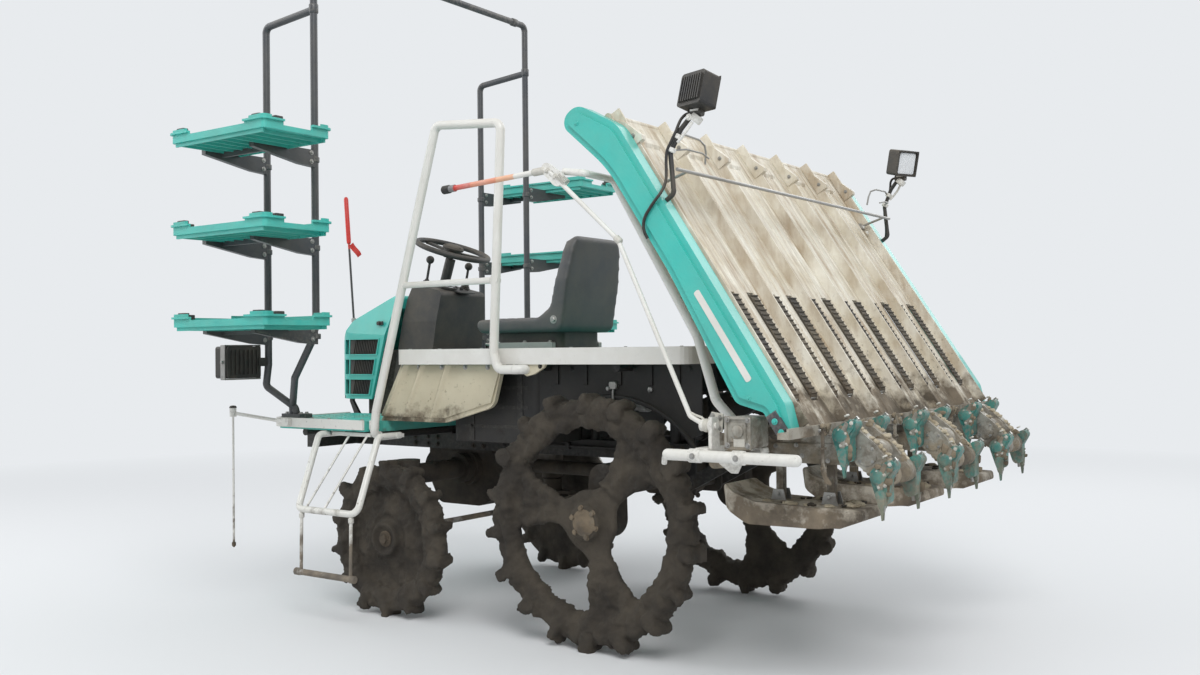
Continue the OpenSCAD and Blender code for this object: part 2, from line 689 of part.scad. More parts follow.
module headlights() color(dark) both_sides() {
    translate([1690, post_y + 130, 1071]) lamp_body(176, 140, 84);
    box([1678, post_y + post_r + 2 * seat_gap, 1052], [1702, post_y + 60, 1090]);
}

module side_sight_rods() color(off_white) both_sides() {
    y = floor_half_w + band_w + seat_gap;
    bent_bar([[1640, y + 8, 800], [1700, y + 8, 806], [1842, 800, 842]], 8, 30);
    box([1610, y, 784], [1660, y + 16, 816]);
    translate([1842, 800, 826]) cylinder(r = 15, h = 40);
    bar([1842, 800, 830], [1842, 800, 240], 5);
}

// Lift cylinder, lying along the frame below the deck
module lift_cylinder() color(steel) difference() {
    union() {
        bar([586 - seat_gap, 0, cylinder_z], [140, 0, cylinder_z], cylinder_r);
        bar([170, 0, cylinder_z], [130, 0, cylinder_z], cylinder_r + 5);
        bar([586 - seat_gap, 0, cylinder_z], [560, 0, cylinder_z], cylinder_r - 8);
    }
    bar([0, 0, cylinder_z], [530, 0, cylinder_z], piston_rod_r + fit);
}

module lift_rod() color(steel) difference() {
    union() {
        bar([crank_x + 44, 0, cylinder_z], [400, 0, cylinder_z], piston_rod_r);
        bar([crank_x + 62, 0, cylinder_z], [crank_x + 38, 0, cylinder_z], 24);
        both_sides() side_view(18, 28) link_2d([crank_x, cylinder_z], [crank_x + 46, cylinder_z], 27, 24);
    }
    translate([crank_x, -60, cylinder_z]) across() cylinder(r = 18, h = 120);
}

// Side outline of the bonnet
function bonnet_side() = [[1560, 885, 0], [1800, 885, 8], [1762, 1190, 60], [1700, 1262, 90],
    [1408, 1388, 14]];
// Its nose leans back: place along X at a height
nose_lean = atan(38 / 305);
function nose_x(z) = 1800 - (z - 885) * 38 / 305;

module bonnet_solid(shrink) intersection() {
    side_view(-400, 400) offset(delta = -shrink) polygon(soft_outline(bonnet_side()));
    front_view(1300, 1900) offset(delta = -shrink) polygon(soft_outline([
        [-bonnet_half_w, 885, 0], [bonnet_half_w, 885, 0], [bonnet_half_w, 1180, 60],
        [bonnet_half_w - 46, 1392, 40], [-bonnet_half_w + 46, 1392, 40], [-bonnet_half_w, 1180, 60]]));
    plan(800, 1500) offset(delta = -shrink) polygon(soft_outline([
        [1300, -bonnet_half_w, 0], [1806, -bonnet_half_w + 6, 90], [1806, bonnet_half_w - 6, 90],
        [1300, bonnet_half_w, 0]]));
}

// Side outline of a vent
module vent_2d(row) {
    low = 908 + row * (vent_h + 26);
    back = 1576 - row * 26;
    polygon([[back, low], [1752, low], [1752 - 4, low + vent_h], [back - 18, low + vent_h]]);
}

// Bonnet shell, open below and behind, with louvred vents
module bonnet() color(teal) {
    difference() {
        bonnet_solid(0);
        difference() {
            bonnet_solid(bonnet_wall);
            box([1760, -60, 860], [1900, 60, 960]);
        }
        box([1300, -bonnet_half_w + bonnet_wall, 860], [1780, bonnet_half_w - bonnet_wall, 900]);
        translate([-40, 0, -30]) bonnet_solid(bonnet_wall);
        for (row = [0:vent_rows - 1]) side_view(-400, 400) vent_2d(row);
    }
}

// Mesh panels behind the bonnet's vents
module bonnet_grilles() color(dark) for (row = [0:vent_rows - 1]) both_sides() intersection() {
    difference() {
        bonnet_solid(bonnet_wall + seat_gap);
        bonnet_solid(bonnet_wall + seat_gap + 4);
    }
    side_view(190, 400) offset(delta = 4) vent_2d(row);
}

// Sighting rod on a bracket at the bonnet's nose
module sighting_rod() color(dark) {
    bent_bar([[1798, 0, 925], [1898, 0, 930], [1926, 0, 1273]], 8, 20);
    bar([1926, 0, 1273], [1978, 0, 1908], 5.5);
    translate([nose_x(925), 0, 925]) rotate([0, -nose_lean, 0])
        front_view(seat_gap, seat_gap + 6) round_rect([70, 50], 10);
}

module steering_wheel() color(dark) translate(steering_at) rotate([0, -column_lean, 0]) difference() {
    union() {
        rotate_extrude() translate([steering_r - 13, 0]) circle(r = 13);
        translate([0, 0, -26]) cylinder(r = 42, h = 34);
        for (a = [0, 125, -125]) rotate(a) translate([30, -13, -16]) cube([steering_r - 46, 26, 12]);
    }
    translate([0, 0, -27]) cylinder(r = 12 + fit, h = 24);
}

// Pair of lower links joined by a cross tube
module lower_links() color(dark) difference() {
    union() {
        both_sides() side_view(114, 134) link_2d([link_x, link_low_z], [link_end_x, link_end_z], 26, 26);
        mid = [(link_x * 0.55 + link_end_x * 0.45), (link_low_z * 0.55 + link_end_z * 0.45)];
        bar([mid[0], -116, mid[1]], [mid[0], 116, mid[1]], 17);
    }
    for (p = [[link_x, link_low_z], [link_end_x, link_end_z]])
        translate([p[0], -200, p[1]]) across() cylinder(r = link_pin_r + fit, h = 400);
}

// Upper link with the arm that the lift cylinder pulls
module upper_link() color(dark) difference() {
    union() {
        side_view(-18, 18) link_2d([link_x, link_up_z], [link_end_x, link_end_z + link_gap_z], 26, 24);
        for (p = [[link_x, link_up_z], [link_end_x, link_end_z + link_gap_z]])
            translate([p[0], -84, p[1]]) across() cylinder(r = 24, h = 168);
        side_view(-12, 12) link_2d([link_x, link_up_z], [crank_x, crank_z], 26, 18);
        translate([crank_x, -32, crank_z]) across() cylinder(r = 9, h = 64);
    }
    translate([link_x, -200, link_up_z]) across() cylinder(r = link_pin_r + fit, h = 400);
    translate([link_end_x, -200, link_end_z + link_gap_z]) across() cylinder(r = link_pin_r + 1, h = 400);
}

// Upright at the links' rear ends, with the roll shaft
module hitch() color(dark) {
    both_sides() side_view(96, 108) polygon(soft_outline([
        [link_end_x - 50, link_end_z - 44, 20], [link_end_x + 24, link_end_z - 44, 24],
        [link_end_x + 24, link_end_z + link_gap_z + 34, 24], [link_end_x - 50, link_end_z + link_gap_z + 34, 20]]));
    box([link_end_x - 50, -108, link_end_z - 40], [link_end_x - 36, 108, link_end_z + link_gap_z + 30]);
    for (z = [link_end_z, link_end_z + link_gap_z])
        bar([link_end_x, -140, z], [link_end_x, 140, z], link_pin_r);
    bar([link_end_x - 40, 0, link_end_z], [tube_x + tube_side / 2 + 4, 0, link_end_z], roll_shaft_r);
    bar([link_end_x - 48, 0, link_end_z], [link_end_x - 58, 0, link_end_z], roll_shaft_r + 14);
}

// Main tube, roll bearing, planting cases and end plates
module planter_frame() color(steel) {
    near = tube_x + tube_side / 2;
    difference() {
        union() {
            box([tube_x - tube_side / 2, -860, link_end_z - tube_side / 2],
                [near, 860, link_end_z + tube_side / 2]);
            bar([near - 4, 0, link_end_z], [link_end_x - 58 - side_gap, 0, link_end_z], roll_shaft_r + 22);
            for (y = case_y) side_view(y - 28, y + 28)
                link_2d([tube_x, link_end_z], [rotor_x, rotor_z], 50, 42);
            for (y = case_y) translate([rotor_x, y - 33, rotor_z]) across() cylinder(r = 36, h = 66);
            both_sides() side_view(848, 860) polygon(soft_outline([[tube_x - 150, link_end_z - 30, 20],
                [tube_x + 60, link_end_z - 60, 20], [tube_x + 60, link_end_z + 56, 20],
                [tube_x - 60, link_end_z + 60, 20], [tube_x - 150, link_end_z + 14, 20]]));
        }
        bar([near + 0.5, 0, link_end_z], [link_end_x, 0, link_end_z], roll_shaft_r + fit);
        for (y = case_y) translate([rotor_x, y - 60, rotor_z]) across() cylinder(r = 16 + fit, h = 120);
    }
    // Cases at the ends, above the guard bars
    both_sides() side_view(859, guard_y - 30)
        polygon(soft_outline([[-866, 806, 10], [-780, 806, 10], [-780, 902, 12], [-866, 902, 12]]));
    // Posts of the lower rail, and float hangers that stand in pockets
    for (y = case_y) {
        box([table_x - 18, y - 26, rotor_z], [table_x + 4, y + 26, table_z - 26 - seat_gap]);
        for (x = hanger_x)
            box([x - 12, y - 14, float_z + 56], [x + 12, y + 14, link_end_z - 36]);
    }
}

hanger_x = [-780, -960];

// Float seen from the side and in plan, with a raised nose
module float_form() intersection() {
    tail_w = float_w - 72;
    side_view(-float_w / 2, float_w / 2) polygon(soft_outline([[-604, float_z + 142, 12], [-630, float_z + 46, 40],
        [-712, float_z, 60], [-1020, float_z + 4, 20], [-1096, float_z + 34, 12], [-1090, float_z + 64, 12],
        [-740, float_z + 74, 60], [-660, float_z + 100, 40]]));
    plan(0, 1000) polygon(soft_outline([[-600, -float_w / 2, 70], [-600, float_w / 2, 70],
        [-960, float_w / 2, 24], [-990, tail_w / 2, 24], [-1100, tail_w / 2, 20],
        [-1100, -tail_w / 2, 20], [-990, -tail_w / 2, 24], [-960, -float_w / 2, 24]]));
}

module floats() color(cream) for (y = case_y) translate([0, y, 0]) difference() {
    float_form();
    for (x = hanger_x) box([x - 13, -15, float_z + 56 - seat_gap], [x + 13, 15, float_z + 200]);
}

// Uprights in front of the table: place along X at a height
function pillar_x(z) = -231.5 - (1700 - z) * 0.598;

// Uprights in front of the table, their cross tube and the shoes that guide the table
module pillar_frame() color(off_white) {
    foot_z = link_end_z + 56;
    pillar_y = 760;
    cross_z = 1650;
    hook_y = marker_y - 18.7;
    for (s = [-1, 1]) {
        bent_bar([[tube_x, s * pillar_y, link_end_z + tube_side / 2 + seat_gap],
            [tube_x, s * pillar_y, foot_z + 10], [-627, s * pillar_y, 940], [-560, s * pillar_y, 1150],
            [pillar_x(1700), s * pillar_y, 1700]], 16, 60);
        bent_bar([[pillar_x(1692), s * pillar_y, 1692], [pillar_x(1700) - 2, s * (pillar_y + 30), 1700],
            [pillar_x(1700) - 5, s * hook_y, 1702], [-150, s * hook_y, 1716]], 12, 18);
    }
    bar([pillar_x(cross_z), -pillar_y, cross_z], [pillar_x(cross_z), pillar_y, cross_z], 16);
    // Shoes that hook into the table's guide rail
    for (y = [-620, -210, 210, 620]) on_table() {
        side_view(y - 20, y + 20) polygon([[table_t + 10, guide_z + 17], [table_t + 24, guide_z + 17],
            [table_t + 24, guide_z + 40], [170, guide_z + 40], [170, guide_z + 56], [table_t + 10, guide_z + 56]]);
    }
}

// Tubes that guard the planting unit's ends, on stays from the end plates
module guard_bars() color(off_white) both_sides() {
    z = 782;
    bar([-590, guard_y, z], [-1026, guard_y, z], 18);
    translate([-590, guard_y, z]) sphere(r = 18);
    translate([-1026, guard_y, z]) sphere(r = 18);
    for (x = [-690, -840]) bar([x, 860 + seat_gap, z], [x, guard_y, z], 14);
    // Bracket and pivot block of the marker
    box([-734, 880, z + 10], [-690, guard_y, z + 24]);
    difference() {
        box([-740, marker_y - 24, z + 20], [-728, marker_y + 24, 900]);
        bar([-760, marker_y, 873], [-700, marker_y, 873], 10 + fit);
    }
}

// Rail below the table's lower edge, with a gate for each row
module lower_rail() color(steel) difference() {
    seat_z = table_z - table_t * sin(table_lean) - seat_gap;
    side_view(-table_half_w - 110, table_half_w + 110) polygon([[table_x - 22, table_z - 26],
        [table_x + 16, table_z - 26], [table_x + 16, seat_z], [table_x - 14, seat_z],
        [table_x - 14, table_z + 6], [table_x - 22, table_z + 6]]);
    for (k = [-5:2:5]) translate([table_x - 40, k * row_side - 16, table_z - 40]) cube([29, 32, 80]);
}

// Angle round the rotor shaft of the first set of arms at rest
rest_turn = 225;
function arm_pin(turn) = [rotor_x + rotor_r * cos(turn), rotor_z + rotor_r * sin(turn)];

// Shafts with a rotary case on each side of each planting case
module rotors() color(steel) for (y = case_y) translate([0, y, 0]) {
    near = 33 + side_gap;
    translate([rotor_x, -near - 2, rotor_z]) across() cylinder(r = 16, h = 2 * near + 4);
    both_sides() {
        side_view(near, near + rotary_t) {
            link_2d([rotor_x, rotor_z], arm_pin(rest_turn), 44, 34);
            link_2d([rotor_x, rotor_z], arm_pin(rest_turn + 180), 44, 34);
        }
        for (t = [0, 180]) let (p = arm_pin(rest_turn + t))
            translate([p[0], near + rotary_t - 1, p[1]]) across() cylinder(r = 11, h = 48);
    }
}

// Planting arm: housing, tail and two-tined claw, drawn from its pin
module planting_arm() {
    low = 33 + side_gap + rotary_t + side_gap;
    difference() {
        union() {
            side_view(low, low + 46) {
                link_2d([0, 0], [-10, -64], 30, 19);
                link_2d([0, 0], [-34, 34], 30, 17);
            }
            side_view(row_side - 18, row_side + 8) link_2d([-10, -52], [-14, -86], 15, 9);
        }
        translate([0, low - 1, 0]) across() cylinder(r = 11 + fit, h = 44);
    }
    for (y = [-7, 4]) side_view(row_side + y, row_side + y + 3)
        polygon([[-8, -80], [-22, -80], [-18, -claw_reach], [-14, -claw_reach]]);
}

module arms(turn) color(teal) {
    p = arm_pin(turn);
    for (y = case_y) translate([p[0], y, p[1]]) both_sides() planting_arm();
}

// Point of the table's side view, from its depth and its place up the slope
function slope_at(depth, up) = [table_x + depth * cos(table_lean) + up * sin(table_lean),
    table_z - depth * sin(table_lean) + up * cos(table_lean)];
// Places its children on the table: local Z runs up the slope, local X points under it
module on_table() translate([table_x, 0, table_z]) rotate([0, table_lean, 0]) children();

// Sheet with dividers, belt slots, cross ribs and a rolled upper edge
module lane_table() color(cream) on_table() {
    difference() {
        box([0, -table_half_w, 0], [table_t, table_half_w, table_l]);
        for (k = [0:lanes - 1], j = [-1, 1])
            translate([-5, (k - (lanes - 1) / 2) * lane_pitch + j * 66 - 24, 90]) cube([40, 48, 420]);
    }
    for (k = [0:lanes])
        translate([0, (k - lanes / 2) * lane_pitch, 0])
            plan(0, table_l) polygon([[1, -9], [-divider_h, -4], [-divider_h, 4], [1, 9]]);
    for (z = [560, table_l - 56]) box([table_t - 1, -table_half_w, z], [table_t + 30, table_half_w, z + 16]);
    box([table_t - 1, -table_half_w, guide_z], [table_t + 34, table_half_w, guide_z + 16]);
    box([table_t + 26, -table_half_w, guide_z], [table_t + 34, table_half_w, guide_z + 34]);
    bar([table_t, -table_half_w, table_l - 4], [table_t, table_half_w, table_l - 4], 15);
}

// Feed belts in the slots of the lanes
module feed_belts() color(dark) on_table() for (k = [0:lanes - 1], j = [-1, 1])
    translate([0, (k - (lanes - 1) / 2) * lane_pitch + j * 66, 300]) rotate([90, 0, 0])
        linear_extrude(48 - 2 * seat_gap, center = true) difference() {
            translate([table_t / 2, 0]) round_rect([26, 404], 12.9);
            translate([table_t / 2, 0]) round_rect([16, 394], 7.9);
        }

// Side beams of the table with a stepped foot and a round top, in step with the table
module beam_2d(inset) offset(delta = -inset) polygon(soft_outline([
    [-1, -7, 8], [49, 29, 10], [46, 89, 16], [110, 162, 40], [81, 633, 300], [82, table_l - 178, 500],
    [155, table_l + 82, 40], [61, table_l + 85, 58], [-28, table_l - 76, 120], [-28, 73, 60]], 8));

module side_beams() color(teal) both_sides() on_table() {
    side_view(beam_y, beam_y + beam_t) beam_2d(0);
    side_view(beam_y + beam_t - 1, beam_y + beam_t + 9) beam_2d(22);
}

// Rod across the mats on two stays
module hold_down() color(steel) on_table() {
    z = 905;
    x = -112;
    y = table_half_w - 42;
    bar([x, -hold_half_w, z], [x, hold_half_w, z], hold_r);
    both_sides() {
        bar([x, y, z], [-6, y, z + 30], hold_r - 1);
        box([-12, y - 12, z + 16], [-seat_gap, y + 12, z + 44]);
    }
}

// Work lamps on bent poles from the side beams, each turned its own way about Z
module work_lamps() color(dark) for (side = [1, -1]) at_side(side) {
    aim = side > 0 ? 252 : 209;
    y = beam_y + beam_t / 2;
    foot = slope_at(-28 - seat_gap, 844);
    bend = slope_at(-62, 844);
    bent_bar([[foot[0], y, foot[1]], [bend[0], y, bend[1]], [-556, y - 3, 1740], [-590, y - 13, 1812],
        [-640, y - 24, 1870]], 8, 20);
    translate([-650, y - 24, 1926]) rotate([0, 14, aim]) translate([-33, 0, 0]) lamp_body(lamp_w, lamp_w, 66);
    bar([-664, y - 24, 1860], [-617, y - 24, 1860], 14);
}

// Points of a ring round a route, as a closed tube
module tube(route, r, sides) {
    n = len(route);
    function dir(i) = unit(route[min(i + 1, n - 1)] - route[max(i - 1, 0)]);
    function ring(i) = let (d = dir(i), u = unit(cross(d, [0.3, 1, 0.1])), v = cross(d, u))
        [for (k = [0:sides - 1]) route[i] + r * (u * cos(k * 360 / sides) + v * sin(k * 360 / sides))];
    polyhedron(
        points = [for (i = [0:n - 1]) each ring(i)],
        faces = concat(
            [[for (k = [sides - 1:-1:0]) k]],
            [for (i = [0:n - 2], k = [0:sides - 1])
                [i * sides + k, i * sides + (k + 1) % sides, (i + 1) * sides + (k + 1) % sides, (i + 1) * sides + k]],
            [[for (k = [0:sides - 1]) (n - 1) * sides + k]]));
}

// Lamp leads, along the poles and round the beams; chosen by hand
lead_route = [[-614.6, 889, 1862], [-603, 891, 1859], [-592, 897, 1848], [-586, 906, 1830], [-580, 914, 1806],
    [-568, 920, 1778], [-552, 924, 1744], [-549, 926, 1712], [-551, 929, 1680], [-552, 934, 1648],
    [-548, 944, 1622], [-540, 954, 1602], [-524, 958, 1582], [-505, 958, 1560], [-488, 958, 1536],
    [-480, 957, 1510], [-482, 954, 1486], [-490, 949, 1466]];
module lamp_cables() color(dark) both_sides() tube(lead_route, 5, 8);

// Folded line marker: inner arm, bracket and outer arm
module marker(side) color(off_white) at_side(side) {
    y = marker_y;
    bent_bar([[-704, y, 873], [-650, y, 900], [-384, y, 1467], [-99, y, 1722]], marker_r, 24);
    bar([-727, y, 873], [-690, y, 873], 18);
    bar([-746, y, 873], [-720, y, 873], 10);
    side_view(y - 6, y + 6) difference() {
        link_2d([-140, 1690], [-92, 1728], 26, 20);
        translate([-116, 1709]) circle(r = 10);
    }
    bar([-96, y, 1724], [388, y, 1698], 9.5);
    bar([388, y, 1698], [330, y, 1701], 13);
}

in_frame() main_frame();
in_frame() transmission();
in_frame() engine();
in_frame() fuel_tank();
in_frame() front_axle();
in_frame() rear_axle();
in_frame() front_floor();
in_frame() seat_deck();
in_frame() edge_bands();
in_frame() body_cover();
in_frame() dash_console();
in_frame() levers();
in_frame() seat();
in_frame() seat_base();
in_frame() handrail();
in_frame() boarding_steps();
in_frame() rack(1);  // rack_left
in_frame() rack(-1);  // rack_right
in_frame() rack_crossbar();
in_frame() rack_trays();
in_frame() headlights();
in_frame() side_sight_rods();
in_frame() lift_cylinder();
in_frame() bonnet();
in_frame() bonnet_grilles();
in_frame() sighting_rod();
in_frame() steering_wheel();
in_frame() knuckle(1);  // knuckle_left
in_frame() knuckle(-1);  // knuckle_right
in_frame() tie_rod();
in_frame() front_wheel(1);  // front_wheel_left
in_frame() front_wheel(-1);  // front_wheel_right
in_frame() rear_wheel(1);  // rear_wheel_left
in_frame() rear_wheel(-1);  // rear_wheel_right
in_frame() lower_links();
in_frame() upper_link();
in_frame() lift_rod();
in_frame() hitch();
in_frame() planter_frame();
in_frame() floats();
in_frame() pillar_frame();
in_frame() guard_bars();
in_frame() lower_rail();
in_frame() rotors();
in_frame() arms(rest_turn);  // arms_a
in_frame() arms(rest_turn + 180);  // arms_b
in_frame() lane_table();
in_frame() side_beams();
in_frame() feed_belts();
in_frame() hold_down();
in_frame() work_lamps();
in_frame() lamp_cables();
in_frame() marker(1);  // marker_left
in_frame() marker(-1);  // marker_right
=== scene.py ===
"""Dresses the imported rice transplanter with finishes, fittings, lamps and mud, in a studio."""

import logging
import math
import random
from dataclasses import dataclass, field
from enum import Enum
from typing import Iterable, Sequence

import bmesh
import bpy
from mathutils import Matrix, Vector, noise


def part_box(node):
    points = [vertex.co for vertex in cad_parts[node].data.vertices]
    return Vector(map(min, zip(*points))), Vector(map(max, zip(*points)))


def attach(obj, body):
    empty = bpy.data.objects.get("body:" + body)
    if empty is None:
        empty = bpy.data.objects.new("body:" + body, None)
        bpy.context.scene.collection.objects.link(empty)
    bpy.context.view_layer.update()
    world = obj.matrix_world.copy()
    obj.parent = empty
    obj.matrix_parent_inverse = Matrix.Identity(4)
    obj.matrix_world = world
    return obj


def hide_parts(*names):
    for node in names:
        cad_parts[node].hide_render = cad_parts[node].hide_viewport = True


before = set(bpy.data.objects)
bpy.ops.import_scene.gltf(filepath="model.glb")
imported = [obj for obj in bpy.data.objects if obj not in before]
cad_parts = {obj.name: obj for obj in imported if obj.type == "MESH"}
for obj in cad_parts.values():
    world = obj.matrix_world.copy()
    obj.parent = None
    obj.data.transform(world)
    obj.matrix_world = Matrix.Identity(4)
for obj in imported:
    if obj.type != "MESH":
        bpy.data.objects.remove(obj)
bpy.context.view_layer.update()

random.seed(11)
LOG = logging.getLogger("rice_transplanter")
MM = 0.001
SIDES = (1, -1)
Colour = tuple[float, float, float]
Row = tuple[float, float, float]
Pair = tuple[float, float]


def rear_axle_x() -> float:
    """Return the rear axle's place along the machine, in metres."""
    low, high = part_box("rear_wheel_left")
    return (low.x + high.x) / 2


AXLE_X = rear_axle_x()


def place(x: float, y: float, z: float) -> Vector:
    """Turn millimetres from the rear axle into a point of the shared frame.

    Args:
        x: Millimetres ahead of the rear axle.
        y: Millimetres to the left of the middle.
        z: Millimetres above the ground.

    Returns:
        The point in metres.
    """
    return Vector((x * MM + AXLE_X, y * MM, z * MM))


def level_at(x: float, y: float, z: float) -> Matrix:
    """Return the matrix at a point in millimetres whose axes run along the machine's."""
    return Matrix.Translation(place(x, y, z))


def paint(red: int, green: int, blue: int) -> Colour:
    """Turn a colour as a screen shows it, 0 to 255, into the linear values that shaders take.

    Args:
        red: Red, 0 to 255.
        green: Green, 0 to 255.
        blue: Blue, 0 to 255.

    Returns:
        The linear colour.
    """

    def linear(value: int) -> float:
        """Return one channel's linear value."""
        share = value / 255
        return share / 12.92 if share <= 0.04045 else ((share + 0.055) / 1.055) ** 2.4

    return linear(red), linear(green), linear(blue)


class Slot(Enum):
    """Material slots of the record."""

    TEAL_PANEL = "teal_panel"
    WHITE_PAINT = "white_paint"
    WHITE_BAND = "white_band"
    CREAM = "cream_plastic"
    DARK_PAINT = "dark_paint"
    BLACK_PLASTIC = "black_plastic"
    CAST_CASE = "cast_case"
    MUDDY_WHEEL = "muddy_wheel"
    BARE_STEEL = "bare_steel"
    ALUMINIUM = "aluminium_case"
    ARM_TEAL = "arm_teal"
    SEAT = "seat_moulding"
    RUBBER = "rubber"


# Shader groups


class Sketch:
    """Adds nodes to one node tree and links them."""

    def __init__(self, tree: bpy.types.NodeTree) -> None:
        """Keep the tree that nodes go into."""
        self.tree = tree

    def node(self, kind: str, settings: dict | None = None, inputs: dict | None = None) -> bpy.types.Node:
        """Add a node.

        Args:
            kind: The node's type name.
            settings: Attributes to set on it.
            inputs: Input names or numbers, each with a value or a socket to link.

        Returns:
            The new node.
        """
        made = self.tree.nodes.new(kind)
        for key, value in (settings or {}).items():
            setattr(made, key, value)
        for key, value in (inputs or {}).items():
            socket = made.inputs[key]
            if isinstance(value, bpy.types.NodeSocket):
                self.tree.links.new(value, socket)
            elif socket.type == "RGBA" and len(value) == 3:
                socket.default_value = (*value, 1)
            else:
                socket.default_value = value
        return made

    def math(
        self, operation: str, first: object, second: object = 0.0, clamp: bool = False
    ) -> bpy.types.NodeSocket:
        """Return the result of one sum on two values or sockets."""
        made = self.node(
            "ShaderNodeMath", {"operation": operation, "use_clamp": clamp}, {0: first, 1: second})
        return made.outputs[0]

    def mix(self, share: object, first: object, second: object) -> bpy.types.NodeSocket:
        """Return a colour between first and second by the share."""
        made = self.node("ShaderNodeMix", {"data_type": "RGBA"}, {0: share, 6: first, 7: second})
        return made.outputs[2]

    def span(
        self, value: object, low: float, high: float, out_low: float = 0.0, out_high: float = 1.0
    ) -> bpy.types.NodeSocket:
        """Return value stretched from low..high to out_low..out_high and held within it."""
        made = self.node(
            "ShaderNodeMapRange", {"clamp": True}, {0: value, 1: low, 2: high, 3: out_low, 4: out_high})
        return made.outputs[0]

    def noise(
        self, where: object, scale: object, detail: float = 5.0, rough: float = 0.6
    ) -> bpy.types.NodeSocket:
        """Return a noise value at a place."""
        made = self.node(
            "ShaderNodeTexNoise", None,
            {"Vector": where, "Scale": scale, "Detail": detail, "Roughness": rough})
        return made.outputs[0]


@dataclass(frozen=True)
class GroupSocket:
    """A named input of a shader group, with its kind and its usual value."""

    name: str
    kind: str = "NodeSocketFloat"
    value: object = 0.0


GroupParts = tuple[bpy.types.NodeTree, Sketch, bpy.types.Node, bpy.types.Node]


def new_group(name: str, inputs: Sequence[GroupSocket], outputs: Sequence[GroupSocket]) -> GroupParts:
    """Start a shader node group with named sockets.

    Args:
        name: The group's name.
        inputs: Its inputs.
        outputs: Its outputs.

    Returns:
        The group, a sketch of it, its input node and its output node.
    """
    group = bpy.data.node_groups.new(name, "ShaderNodeTree")
    for sockets, way in ((inputs, "INPUT"), (outputs, "OUTPUT")):
        for item in sockets:
            made = group.interface.new_socket(name=item.name, in_out=way, socket_type=item.kind)
            if way == "INPUT" and item.kind == "NodeSocketFloat":
                made.default_value = item.value
    sketch = Sketch(group)
    return group, sketch, sketch.node("NodeGroupInput"), sketch.node("NodeGroupOutput")


PLACE = GroupSocket("Place", "NodeSocketVector")
COLOUR = GroupSocket("Color", "NodeSocketColor")
MASK = GroupSocket("Mask")


